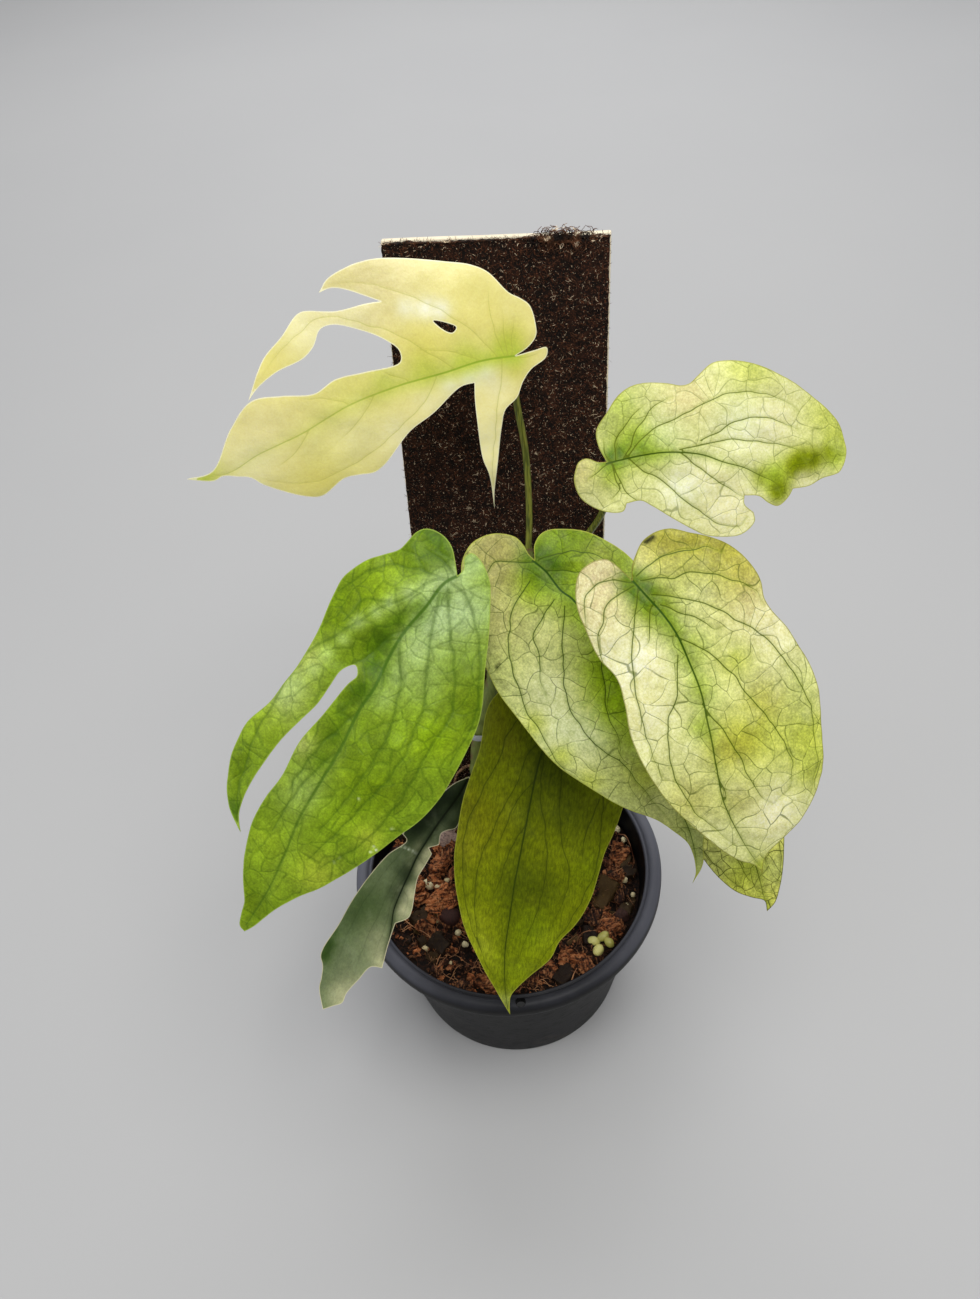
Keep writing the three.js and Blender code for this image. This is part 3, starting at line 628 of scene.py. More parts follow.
# Fertiliser pellets: a small heap of coated yellow-green beads, dropped on the mix near the
# rim.
pellet_shapes = [worn_pebble(0.08, 5), worn_pebble(0.1, 12)]
PELLET_FORM = np.array((1.12, 0.86, 0.8))
PELLET_LIFT = 2.2
PELLET_SPOTS = [
    (31.1, -32.4, 4.4, 0.8), (35.0, -31.2, 4.4, 0.4), (32.3, -36.4, 4.7, 0.9), (36.9, -34.2, 4.0, 0.3),
]
pellet_finish, paint, where = new_finish("fertiliser_pellet")
tone = paint.attribute("tone")
dusting = paint.noise(where, 800, 3)
pellet = paint.mix(srgb(142, 138, 40), srgb(212, 206, 128), tone)
set_finish(
    paint,
    Base_Color=paint.mix(pellet, srgb(120, 92, 46), dusting.between(0.6, 0.75) * 0.5),
    Roughness=0.4,
    Normal=paint.bump(dusting, 0.0001),
)
pellets = [
    (x, y, ground_at(x, y) + PELLET_LIFT, PELLET_FORM * size, (0.2, 0.3, x), tone)
    for x, y, size, tone in PELLET_SPOTS
]
strew("fertiliser_pellets", pellet_shapes, pellets, pellet_finish, angle=80)

# Crumbs: the fine part of the same husk, broken small. It fills the hollows between the
# larger chips.
crumb_shapes = [
    broken_lump((1, 0.8, 0.6), tear=0.9, grain=0, seed=4, cuts=1),
    broken_lump((1.3, 0.5, 0.4), tear=0.7, grain=0, seed=6, cuts=1),
]
crumbs = random_places(1700, smallest=0.9, largest=3.0, tilt=1.5, sink=0.12, margin=1.5)
crumbs = [(*place[:5], 0.8 * place[5] ** 2) for place in crumbs]
# The crumbs too are painted darker toward the right, as painted shade.
strew("mix_crumbs", crumb_shapes, shaded_toward_right(crumbs), husk_finish, angle=40)

# Stray fibres: thin reddish fibres that have come off the husk and lie over the mix. A few
# long ones have chosen spots: (x, y, length, heading, lift, radius).
SPRIG_SPOTS = [
    (50, 16, 17, -1.25, 4, 0.25), (49, 12, 15, -1.0, 3, 0.2), (34.3, -27, 11, -2.4, 3, 0.22),
    (-39.6, -9.5, 17, -1.35, 3.5, 0.26), (-38, -12, 15, -1.1, 2.5, 0.18), (18, -47.7, 10, 0.4, 2, 0.22),
    (45, 4, 14, -2.2, 3, 0.18), (-26, 12, 12, -0.4, 3, 0.18), (-33, 8, 13, 0.8, 3, 0.2),
]
SHORT_FIBRES = 900
FIBRE_STEPS = 8
FIBRE_SWAY = 0.35
FIBRE_WAVE = 2.6
FIBRE_TAPER = 0.5


def tubes(name, routes, sides=8):
    """Round strands in one mesh. A route is a list of (point, radius), in millimetres."""
    curve = bpy.data.curves.new(name, "CURVE")
    curve.dimensions = "3D"
    curve.bevel_depth = MM
    curve.bevel_resolution = max(0, sides // 2 - 2)
    curve.use_fill_caps = True
    for route in routes:
        spline = curve.splines.new("POLY")
        spline.points.add(len(route) - 1)
        for point, (place, radius) in zip(spline.points, route):
            point.co = (*(np.array(place) * MM), 1)
            point.radius = radius
    place_new(name, curve)
    bpy.ops.object.convert(target="MESH")


def stray_fibre(x, y, length, heading, lift, radius):
    """A loose fibre on the mix: it starts down in it, springs over and comes back down."""
    route = []
    for s in (k / FIBRE_STEPS for k in range(FIBRE_STEPS + 1)):
        bend = FIBRE_SWAY * length * math.sin(FIBRE_WAVE * s + x)
        place = Vector((x, y)) + length * s * Vector((math.cos(heading), math.sin(heading)))
        place += bend * Vector((-math.sin(heading), math.cos(heading)))
        if place.length > BED_RADIUS - 1:
            place *= (BED_RADIUS - 1) / place.length
        z = ground_at(*place) + 0.3 + lift * math.sin(math.pi * (0.1 + 0.85 * s))
        route.append(((*place, z), radius * (1 - FIBRE_TAPER * s)))
    return route


fibres = [stray_fibre(*spot) for spot in SPRIG_SPOTS]
for _ in range(SHORT_FIBRES):
    x, y = free_spot(margin=4)
    length, heading = 1.5 + 9 * rng.random() ** 2.5, rng.uniform(0, TURN)
    lift, radius = rng.uniform(0.5, 2.5), rng.uniform(0.06, 0.13)
    fibres.append(stray_fibre(x, y, length, heading, lift, radius))
tubes("mix_fibres", fibres, sides=5)
fibre_finish, paint, where = new_finish("loose_fibre")
shade = paint.noise(where, 90, 3)
set_finish(
    paint,
    Base_Color=paint.mix(srgb(96, 48, 24), srgb(214, 156, 108), shade.between(0.35, 0.65)),
    Roughness=0.75,
)
piece("mix_fibres", fibre_finish, "potting_mix", angle=80)

# Climbing board, core: a flat pale board, sawn to size, that leans in the pot. Its edges are a
# little worn and show the cut.
BOARD_FRONT = (6.9, 33.4, 78.4)
BOARD_LEAN = math.radians(11)
BOARD_TURN = math.radians(-6.2)
BOARD_TILT = math.radians(0.7)
BOARD_WIDTH = 70.0
BOARD_TOP = 227.3
BOARD_FOOT = -35.0
FIBRE_DEPTH = 2.0
CORE_DEPTH = 3.4
CLEAR = 0.3
CORE_LOWER = 0.4
NICK_CLOSENESS = 0.35
NICK_DEPTH = 0.22
board_turn = (
    Matrix.Rotation(BOARD_TURN, 4, "Z")
    @ Matrix.Rotation(-BOARD_LEAN, 4, "X")
    @ Matrix.Rotation(BOARD_TILT, 4, "Y")
)
board_frame = Matrix.Translation(BOARD_FRONT) @ board_turn
metres = Matrix.Scale(MM, 4)


def on_board(side, up_it, out):
    """A place on the board: sideways, up its length and out from its front, in millimetres."""
    return board_frame @ Vector((side, -out, up_it))


def stand_on_board(made):
    """Moves a mesh that was made in the board's frame, in millimetres, to where the board is."""
    made.data.transform(metres @ board_frame)


core_top = BOARD_TOP - CORE_LOWER
bpy.ops.mesh.primitive_cube_add(
    size=1,
    scale=(BOARD_WIDTH, CORE_DEPTH, core_top - BOARD_FOOT),
    location=(0, FIBRE_DEPTH + CLEAR + CORE_DEPTH / 2, (BOARD_FOOT + core_top) / 2),
)
bpy.ops.object.transform_apply(location=True, rotation=True, scale=True)
core = bpy.context.object
modify(core, "BEVEL", width=0.5, segments=3)
bpy.ops.object.mode_set(mode="EDIT")
bpy.ops.mesh.select_all(action="SELECT")
bpy.ops.mesh.subdivide(number_cuts=6)
bpy.ops.object.mode_set(mode="OBJECT")
for vertex in core.data.vertices:
    nick = noise.noise(vertex.co * NICK_CLOSENESS) * NICK_DEPTH
    vertex.co.x += nick if abs(vertex.co.x) > BOARD_WIDTH / 2 - 0.6 else 0
    vertex.co.z += nick if vertex.co.z > BOARD_TOP - 1 else 0
stand_on_board(core)
core_finish, paint, where = new_finish("pale_board")
grain = paint.noise(where.scaled((1, 1, 0.1)), 420, 4)
flecks = paint.noise(where, 1500, 3)
stain = paint.noise(where, 28, 4, 0.6)
pale = paint.mix(srgb(226, 217, 194), srgb(204, 190, 160), grain)
pale = paint.mix(pale, srgb(150, 124, 88), stain.between(0.55, 0.8) * 0.5)
set_finish(
    paint,
    Base_Color=paint.mix(pale, srgb(110, 84, 58), flecks.between(0.66, 0.75) * 0.6),
    Roughness=0.8,
    Normal=paint.bump(grain + flecks * 0.4, 0.00025),
)
piece("board_core", core_finish, "board_core", "board_core", angle=35)

# Climbing board, front: a mat of dark coir fibre, pressed and glued to the core. Its face is
# matted and pitted, with a few pale fibres among the brown ones.
MAT_STEP = 1.0
MAT_INSET = 0.55
MAT_LOWER = 0.8
FACE_HUMPS = 0.35
SIDE_HUMPS = 0.35
TOP_HUMPS = 0.6
SLOW_HUMPS = 0.55
QUICK_HUMPS = 1.4
columns = round(BOARD_WIDTH / MAT_STEP)
rows = round((BOARD_TOP - BOARD_FOOT) / MAT_STEP)
bpy.ops.mesh.primitive_grid_add(x_subdivisions=columns, y_subdivisions=rows, size=1)
mat = bpy.context.object
for vertex in mat.data.vertices:
    side = vertex.co.x * (BOARD_WIDTH - 2 * MAT_INSET)
    up_it = BOARD_FOOT + (vertex.co.y + 0.5) * (BOARD_TOP - MAT_LOWER - BOARD_FOOT)
    vertex.co = (side, 0, up_it)
bpy.ops.object.mode_set(mode="EDIT")
bpy.ops.mesh.select_all(action="SELECT")
bpy.ops.mesh.extrude_region_move(TRANSFORM_OT_translate={"value": (0, FIBRE_DEPTH, 0)})
end_edit()
for vertex in mat.data.vertices:
    spot = vertex.co.copy()
    tuft = noise.noise(spot * SLOW_HUMPS) + 0.6 * noise.noise(spot * QUICK_HUMPS)
    if spot.y < FIBRE_DEPTH / 4:
        vertex.co.y += FACE_HUMPS * tuft - 0.05
    if abs(spot.x) > BOARD_WIDTH / 2 - MAT_INSET - 0.1:
        vertex.co.x += SIDE_HUMPS * tuft * math.copysign(1, spot.x)
    if spot.z > BOARD_TOP - MAT_LOWER - 0.4:
        vertex.co.z += TOP_HUMPS * tuft
stand_on_board(mat)
coir_finish, paint, where = new_finish("coir_mat")


def fibre_web(vector, scale, width, broken):
    """Thin curly lines, where slow noise crosses its middle, broken into short lengths."""
    line = paint.noise(vector, scale, 1.0, 0.4) - 0.5
    line = paint.maths("ABSOLUTE", line, 0).between(width, width * 0.3)
    return line * paint.noise(vector, scale * 1.7, 1.0).between(broken, broken + 0.06)


clumps = paint.noise(where, 330, 6, 0.75)
deep_web = fibre_web(where, 640, 0.035, 0.44)
red_web = fibre_web(where.scaled((1, 1, 1), (0.1, 0.2, 0.3)), 820, 0.04, 0.48)
pale_web = fibre_web(where.scaled((1, 1, 1), (0.3, 0.1, 0.2)), 820, 0.03, 0.58)
coir = paint.mix(srgb(14, 7, 4), srgb(52, 28, 16), clumps.between(0.42, 0.7))
coir = paint.mix(coir, srgb(84, 50, 30), deep_web * 0.5)
coir = paint.mix(coir, srgb(122, 72, 48), red_web * 0.5)
set_finish(
    paint,
    Base_Color=paint.mix(coir, srgb(224, 200, 168), pale_web * 0.9),
    Roughness=0.95,
    Normal=paint.bump(clumps + deep_web * 0.4 + pale_web * 0.4, 0.0009),
    Specular_IOR_Level=0.2,
)
piece("coir_mat", coir_finish, "coir", "coir_layer", angle=60)

# Coir strands: loose ends of the mat's fibres. Short ones spring off its face and its sides,
# and a tangle of longer ones stands up over the top edge.
MAT_HALF = 34.0
MAT_EDGE = 34.3
TUFT_MIDDLE = 20.0
FACE_STRANDS = 4600
TUFT_STRANDS = 230
TOP_STRANDS = 260
EDGE_STRANDS = 300
STRAND_STEPS = 4
STRAND_LIFT = 0.25
STRAND_TAPER = 0.4


def curled_fibre(start, heading, length, curl, out, radius):
    """A short fibre in the board's frame, which springs off the mat and curls back to it."""
    route = []
    side, up_it = start
    for k in range(STRAND_STEPS + 1):
        s = k / STRAND_STEPS
        turn_by = heading + curl * s
        place = on_board(side, up_it, STRAND_LIFT + out * math.sin(math.pi * s))
        route.append((place, radius * (1 - STRAND_TAPER * s)))
        side += length / STRAND_STEPS * math.cos(turn_by)
        up_it += length / STRAND_STEPS * math.sin(turn_by)
    return route


strands = []
for _ in range(FACE_STRANDS):
    start = (rng.uniform(-MAT_HALF, MAT_HALF), rng.uniform(-6, BOARD_TOP - 2))
    heading = rng.uniform(0, TURN)
    length = 0.8 + 3.2 * rng.random() ** 2
    curl, out = rng.uniform(-2.6, 2.6), rng.uniform(0.1, 0.8)
    strands.append(curled_fibre(start, heading, length, curl, out, rng.uniform(0.04, 0.08)))
for _ in range(TUFT_STRANDS):
    start = (rng.gauss(TUFT_MIDDLE, 4.5), BOARD_TOP - rng.uniform(0.4, 2.2))
    length = rng.uniform(2.5, 7)
    curl = rng.choice((-1, 1)) * rng.uniform(2.5, 5.5)
    heading, out = rng.uniform(-0.6, 3.7), rng.uniform(-1.6, 1.2)
    strands.append(curled_fibre(start, heading, length, curl, out, 0.13))
for _ in range(TOP_STRANDS):
    start = (rng.uniform(-MAT_HALF, MAT_HALF), BOARD_TOP - 1.0)
    heading, length = rng.uniform(0.1, 3.0), rng.uniform(0.8, 2)
    curl, out = rng.uniform(-2, 2), rng.uniform(-0.8, 0.6)
    strands.append(curled_fibre(start, heading, length, curl, out, 0.07))
for _ in range(EDGE_STRANDS):
    edge = rng.choice((-MAT_EDGE, MAT_EDGE))
    heading = rng.uniform(-1.3, 1.3) + (math.pi if edge < 0 else 0)
    start, length = (edge, rng.uniform(-4, BOARD_TOP)), rng.uniform(0.5, 1.4)
    curl, out = rng.uniform(-1.5, 1.5), rng.uniform(-0.5, 0.5)
    strands.append(curled_fibre(start, heading, length, curl, out, 0.06))
tubes("coir_strands", strands, sides=4)
strand_finish, paint, where = new_finish("coir_strand")
shade = paint.noise(where, 330, 2)
strand = paint.mix(srgb(22, 11, 6), srgb(100, 62, 38), shade.between(0.38, 0.6))
set_finish(
    paint,
    Base_Color=paint.mix(strand, srgb(232, 212, 180), shade.between(0.59, 0.65)),
    Roughness=0.8,
    Specular_IOR_Level=0.3,
)
piece("coir_strands", strand_finish, "coir")

# Stem: a thick green climbing stem that creeps up the mat and is bound to it by its roots and
# the tie. It swells to a ring at each leaf joint and tapers off at its growing tip.
STEM_RADIUS = 3.0
RING_SWELL = 0.16
RING_REACH = 2.0
NECK_DEPTH = 0.07
NECK_REACH = 0.7
NECK_AT = 3.4
STEM_ROUTE = [
    (-13, -26, 9), (-15, -10, 6), (-16, 12, 4.6), (-14.5, 34, 4.4), (-9, 58, 4.4), (-2, 82, 4.4),
    (4, 104, 4.4), (7, 116, 4.6),
]
STEM_TIP = [(7.2, 118, 4.9, 2.75), (7.5, 121, 5.5, 2.15), (7.9, 125, 6.2, 1.4)]
STEM_NODES = [(-15.8, 18, 4.6), (-11.8, 47, 4.4), (-6, 68, 4.4), (0, 89, 4.4), (6.9, 115.6, 4.6)]


def through(points, step, closed=False):
    """Points about a step apart along the smooth curve that passes through the given ones."""
    given = [np.array(p, dtype=float) for p in points]
    count = len(given)
    found = []
    for i in range(count if closed else count - 1):
        here, there = given[i], given[(i + 1) % count]
        before = given[i - 1] if closed or i > 0 else 2 * here - there
        after = given[(i + 2) % count] if closed or i + 2 < count else 2 * there - here
        pairs = ((before, here), (here, there), (there, after))
        gap_in, gap, gap_out = (max(float(np.linalg.norm(b - a)) ** 0.5, 1e-3) for a, b in pairs)
        start = (here - before) / gap_in - (there - before) / (gap_in + gap) + (there - here) / gap
        end = (there - here) / gap - (after - here) / (gap + gap_out) + (after - there) / gap_out
        start, end = start * gap, end * gap
        stretches = max(1, round(float(np.linalg.norm(there - here)) / step))
        for t in np.arange(stretches) / stretches:
            bend = (3 * (there - here) - 2 * start - end) * t ** 2
            found.append(here + start * t + bend + (2 * (here - there) + start + end) * t ** 3)
    if not closed:
        found.append(given[-1])
    return found


stem_line = through([on_board(*p) for p in STEM_ROUTE], 0.8)
joints = [np.array(on_board(*p)) for p in STEM_NODES]
stem_route = []
for place in stem_line:
    near = min(float(np.linalg.norm(place - joint)) for joint in joints)
    ring = RING_SWELL * math.exp(-((near / RING_REACH) ** 2))
    neck = NECK_DEPTH * math.exp(-(((near - NECK_AT) / NECK_REACH) ** 2))
    stem_route.append((place, STEM_RADIUS * (1 + (ring - neck))))
for side, up_it, out, radius in STEM_TIP:
    stem_route.append((on_board(side, up_it, out), radius))
tubes("climbing_stem", [stem_route], sides=20)
stem_finish, paint, where = new_finish("olive_stem")
lines = paint.noise(where.scaled((1, 1, 0.15)), 1300, 3)
blotch = paint.noise(where, 160, 4, 0.6)
cork = paint.noise(where, 700, 4, 0.6)
bark_green = paint.mix(srgb(70, 88, 30), srgb(132, 142, 62), lines)
corky = blotch.between(0.52, 0.66) * cork.between(0.3, 0.6)
set_finish(
    paint,
    Base_Color=paint.mix(bark_green, srgb(104, 78, 44), corky),
    Roughness=0.5,
    Normal=paint.bump(lines + cork * 0.5, 0.0002),
)
piece("climbing_stem", stem_finish, "stem", "stem", angle=50)

# Clinging roots: thin brown roots that grow out of the stem at its joints, run over the mat
# and grip it with fine hairs.
ROOTS = [
    [(-15.8, 18, 4.6), (-20, 17, 1.5), (-25, 12, 1.1), (-27, 4, 1.1)],
    [(-15.8, 18, 4.6), (-11.5, 14, 1.6), (-9, 6, 1.1), (-10, -4, 1.1)],
    [(-12, 47, 4.4), (-17, 48, 1.5), (-22, 46, 1.1), (-25.5, 42, 1.1)],
    [(-12, 47, 4.4), (-7.5, 48, 1.5), (-2, 47, 1.1), (4, 43.5, 1.1)],
    [(-6, 68, 4.4), (-11, 70, 1.5), (-17, 69, 1.1), (-22, 64, 1.1)],
    [(-6, 68, 4.4), (-1.5, 64, 1.5), (3, 58, 1.1), (4, 48, 1.1)],
    [(0, 89, 4.4), (5, 90, 1.5), (10, 87, 1.1), (14, 80, 1.1)],
    [(0, 89, 4.4), (-5, 92, 1.5), (-10, 92, 1.1), (-15, 88, 1.1)],
]
ROOT_HAIRS = 26
ROOT_RADIUS = 0.8
ROOT_TAPER = 0.35
ROOT_KNOTS = 0.07
root_routes = []
for root in ROOTS:
    line = through([on_board(*p) for p in root], 0.6)
    last = len(line) - 1
    thickness = [
        ROOT_RADIUS - ROOT_TAPER * (k / last) + ROOT_KNOTS * math.sin(2.7 * k) for k in range(last + 1)
    ]
    root_routes.append(list(zip(line, thickness)))
    for _ in range(ROOT_HAIRS):
        k = rng.randrange(last // 3, last)
        side, _, up_it = board_frame.inverted() @ Vector(line[k])
        heading, length, curl = rng.uniform(0, 6.28), rng.uniform(1, 2.6), rng.uniform(-1, 1)
        root_routes.append(curled_fibre((side, up_it), heading, length, curl, out=0.7, radius=0.06))
tubes("clinging_roots", root_routes)
root_finish, paint, where = new_finish("brown_root")
skin = paint.noise(where, 900, 4, 0.6)
set_finish(
    paint,
    Base_Color=paint.mix(srgb(78, 50, 32), srgb(158, 122, 82), skin.between(0.35, 0.65)),
    Roughness=0.8,
    Normal=paint.bump(skin, 0.0002),
)
piece("clinging_roots", root_finish, "stem", angle=60)

# Tie: a soft clear plastic strip that holds the stem to the board. It is passed once round both
# and pulled snug, so that it presses lightly on the stem.
TIE_HEIGHT = 38.0
TIE_WIDTH = 2.6
TIE_DEPTH = 0.9
TIE_STEM_SIDE = -13.7
TIE_STEM_OUT = 4.4
back = FIBRE_DEPTH + CORE_DEPTH + 2 * CLEAR + TIE_DEPTH / 2
half = BOARD_WIDTH / 2 + CLEAR + TIE_DEPTH / 2
front = -CLEAR - TIE_DEPTH / 2
bulge = -(TIE_STEM_OUT + STEM_RADIUS + 2 * CLEAR + TIE_DEPTH / 2)
over_stem = [
    (TIE_STEM_SIDE + 9, front), (TIE_STEM_SIDE + 3.8, bulge + 1.6), (TIE_STEM_SIDE + 1.8, bulge),
    (TIE_STEM_SIDE - 1.8, bulge), (TIE_STEM_SIDE - 3.8, bulge + 1.6), (TIE_STEM_SIDE - 9, front),
]
tie_line = [(-half, front), (-half, back), (half, back), (half, front)] + over_stem
tie_mesh = bpy.data.meshes.new("clear_tie")
corners = [(x, y, TIE_HEIGHT - TIE_WIDTH / 2) for x, y in tie_line]
tie_mesh.from_pydata(corners, [(i, (i + 1) % len(corners)) for i in range(len(corners))], [])
tie = place_new("clear_tie", tie_mesh)
bpy.ops.object.mode_set(mode="EDIT")
bpy.ops.mesh.select_all(action="SELECT")
bpy.ops.mesh.bevel(offset=1.0, segments=4, affect="VERTICES")
bpy.ops.mesh.select_all(action="SELECT")
bpy.ops.mesh.extrude_region_move(TRANSFORM_OT_translate={"value": (0, 0, TIE_WIDTH)})
end_edit()
modify(tie, "SOLIDIFY", thickness=TIE_DEPTH * 0.8, offset=0)
modify(tie, "BEVEL", width=0.18, segments=2)
stand_on_board(tie)
tie_finish, paint, where = new_finish("clear_plastic")
haze = paint.mix(srgb(172, 176, 178), srgb(204, 206, 208), paint.noise(where, 500, 2))
set_finish(paint, Base_Color=haze, Roughness=0.22, Alpha=0.72)
piece("clear_tie", tie_finish, "tie", "tie", angle=40)

# Leaf 1, the newest: thin, soft and butter yellow, cut into long lobes, on a tall green stalk.
# A blade is one thin sheet with sunken veins above and raised ones below; its stalk is a round
# rod, a little thicker at both ends, and grows from the stem as one with it.
BLADE = 0.5
BLADE_STEP = 0.65
EYE_SCALE = 0.45
PUFF_REACH = 2.2
PUCKER_SIZE = 9
CRIMP_SIZE = 3.2
RIM_REACH = 1.5
RIM_SHARE = 0.55
KEEL_REACH = 0.6
FARTHEST = 12
LEAST_GAP = 0.45
POINTS_AT_A_TIME = 2000
STALK_RADIUS = 1.12
STALK_STEP = 1.2
STALK_END = ((16, 0.3, 0.5), (9, 0.6, 0.75), (4, 0.95, 1.0), (1, 1.2, 1.3))
KNEE_SWELL = 0.28
KNEE_REACH = 5.0
FOOT_SWELL = 1.15
FOOT_REACH = 6.0


def blade_frame(leaf):
    """The blade's base, its directions along, to the right and out, and its chord's length."""
    base = np.array(leaf["base"], dtype=float)
    chord = np.array(leaf["tip"], dtype=float) - base
    length = float(np.linalg.norm(chord))
    along = chord / length
    out = np.array(leaf["face"], dtype=float)
    out -= out.dot(along) * along
    out /= np.linalg.norm(out)
    return base, along, np.cross(out, along), out, length


def blade_height(leaf, length, u, v):
    """How the whole blade bends: arched along, folded at the midrib and waved at its edge."""
    s = u / length
    w = v / leaf["half"]
    arch = np.maximum(leaf["rise"] * 4 * s * (1 - s), -1.5 * leaf["rise"])
    valley = leaf["fold"] * (np.sqrt(w * w + 0.02) - 0.14)
    phase = np.where(v > 0, 1.0, 3.0)
    ripple = leaf["wave"] * w * w * np.sin(2 * math.pi * u / leaf["period"] + phase)
    return arch + valley - leaf["droop"] * w * w + ripple


def cloud_at(u, v, size, seed):
    return np.array([noise.noise(Vector((a / size, b / size, seed))) for a, b in zip(u, v)])


def blade_relief(leaf, length, u, v, rib):
    """The bend with its small relief: sunk along the veins, puffed and crimped between them."""
    puff = 1 - np.exp(-(np.maximum(rib, 0) / PUFF_REACH) ** 2)
    height = blade_height(leaf, length, u, v) + leaf["quilt"] * (puff - 0.7)
    height += leaf["pucker"] * cloud_at(u, v, PUCKER_SIZE, leaf["seed"])
    height += leaf["crimp"] * cloud_at(u, v, CRIMP_SIZE, leaf["seed"] + 4) * puff
    for lift_u, lift_v, reach, lift in leaf.get("lifts", []):
        height += lift * np.exp(-((u - lift_u) ** 2 + (v - lift_v) ** 2) / reach ** 2)
    return height


def leaf_margin(outline, step):
    """The leaf's edge: smooth between the points marked 1, which are sharp."""
    ring = list(outline) + [outline[0]]
    edge = []
    start = 0
    for i in range(1, len(ring)):
        if len(ring[i]) == 3:
            edge += through([p[:2] for p in ring[start:i + 1]], step)[:-1]
            start = i
    return np.array(edge)


def inside(points, ring):
    """Which points lie inside a closed ring."""
    x, y = points[:, 0:1], points[:, 1:2]
    ax, ay = ring[:, 0], ring[:, 1]
    bx, by = np.roll(ax, -1), np.roll(ay, -1)
    straddles = (ay > y) != (by > y)
    with np.errstate(divide="ignore", invalid="ignore"):
        crossing = ax + (y - ay) * (bx - ax) / (by - ay)
    return (straddles & (x < crossing)).sum(axis=1) % 2 == 1


def distance_to(points, starts, ends, start_widths=0.0, end_widths=0.0):
    """Distance from each point to the nearest stretch, less the stretch's own half width."""
    nearest = np.full(len(points), 1e3)
    span = ends - starts
    squared = np.maximum((span ** 2).sum(axis=1), 1e-12)
    for low in range(0, len(points), POINTS_AT_A_TIME):
        high = low + POINTS_AT_A_TIME
        offset = points[low:high, None, :] - starts[None]
        t = np.clip((offset * span).sum(axis=2) / squared, 0, 1)
        gap = np.linalg.norm(offset - t[..., None] * span, axis=2)
        gap = gap - (start_widths + (end_widths - start_widths) * t)
        nearest[low:high] = gap.min(axis=1)
    return nearest


def vein_lines(leaf, step):
    """Each vein as a line with its half width, which tapers; side veins wander a little."""
    lines = []
    for order, vein in enumerate(leaf["veins"]):
        line = np.array(through(vein, step))
        spread = np.linspace(0, 1, len(line))
        wide = leaf["rib"]
        if order:
            wide = leaf["side_rib"]
            stray = [cloud_at(*line.T, size, order + size) for size in (4.1, 4.7)]
            line += leaf["wander"] * np.minimum(6 * spread, 1)[:, None] * np.column_stack(stray)
        lines.append((line, wide * (1 - 0.75 * spread) - 0.2 * spread ** 5))
    return lines


def flat_blade(leaf):
    """The blade laid flat: points, triangles, and the distances to its veins and its edge."""
    edge = leaf_margin(leaf["outline"], BLADE_STEP)
    holes = [through(hole, BLADE_STEP, closed=True) for hole in leaf.get("holes", [])]
    rings = [edge] + [np.array(hole) for hole in holes]
    lines = vein_lines(leaf, BLADE_STEP)
    low, high = edge.min(axis=0), edge.max(axis=0)
    rows = np.arange(low[1], high[1], BLADE_STEP * 0.866)
    columns = np.arange(low[0], high[0], BLADE_STEP)
    grid = np.array([(u + (j % 2) * BLADE_STEP / 2, v) for j, v in enumerate(rows) for u in columns])
    kept = inside(grid, edge)
    for ring in rings[1:]:
        kept &= ~inside(grid, ring)
    grid = grid[kept]
    ring_starts = np.vstack(rings)
    ring_ends = np.vstack([np.roll(ring, -1, axis=0) for ring in rings])
    vein_starts = np.vstack([line[:-1] for line, _ in lines])
    vein_ends = np.vstack([line[1:] for line, _ in lines])
    widths = np.concatenate([w[:-1] for _, w in lines]), np.concatenate([w[1:] for _, w in lines])
    clear_of_rings = distance_to(grid, ring_starts, ring_ends) > LEAST_GAP * BLADE_STEP
    clear_of_veins = distance_to(grid, vein_starts, vein_ends) > LEAST_GAP * BLADE_STEP
    grid = grid[clear_of_rings & clear_of_veins]
    points = []
    edges = []
    for ring in rings:
        first = len(points)
        points += [tuple(p) for p in ring]
        edges += [(first + i, first + (i + 1) % len(ring)) for i in range(len(ring))]
    for line, _ in lines:
        held = line[distance_to(line, ring_starts, ring_ends) > 0.3 * BLADE_STEP]
        held = held[inside(held, edge)]
        first = len(points)
        points += [tuple(p) for p in held]
        edges += [(first + i, first + i + 1) for i in range(len(held) - 1)]
    points += [tuple(p) for p in grid]
    found = delaunay_2d_cdt([Vector(p) for p in points], edges, [], 1, 1e-4)
    places = np.array([v[:] for v in found[0]])
    triangles = np.array([f for f in found[2] if len(f) == 3])
    middles = places[triangles].mean(axis=1)
    solid = inside(middles, edge)
    for ring in rings[1:]:
        solid &= ~inside(middles, ring)
    triangles = triangles[solid]
    used = np.unique(triangles)
    renumber = np.full(len(places), -1)
    renumber[used] = np.arange(len(used))
    places, triangles = places[used], renumber[triangles]
    main = lines[0][0]
    rib = distance_to(places, vein_starts, vein_ends, *widths)
    main_rib = distance_to(places, main[:-1], main[1:], lines[0][1][:-1], lines[0][1][1:])
    rim = distance_to(places, ring_starts, ring_ends)
    return places, triangles, rib, main_rib, rim


def blade_tint(leaf, places, main_rib):
    """The leaf's broad colours: a ground, soft patches over it and the midrib's, mixed as seen."""
    tint = np.tile(np.array(leaf["ground"][:3]) ** EYE_SCALE, (len(places), 1))
    for u, v, reach, colour, strength in leaf["patches"]:
        away = np.hypot(places[:, 0] - u, places[:, 1] - v) / reach
        share = (strength * np.exp(-away ** 2))[:, None]
        tint = tint * (1 - share) + np.array(colour[:3]) ** EYE_SCALE * share
    colour, reach, strength, fade = leaf["rib_tint"]
    share = strength * np.exp(-(np.maximum(main_rib, 0) / reach) ** 1.4)
    share = (share * np.exp(-np.maximum(places[:, 0], 0) / fade))[:, None]
    return (tint * (1 - share) + np.array(colour[:3]) ** EYE_SCALE * share) ** (1 / EYE_SCALE)


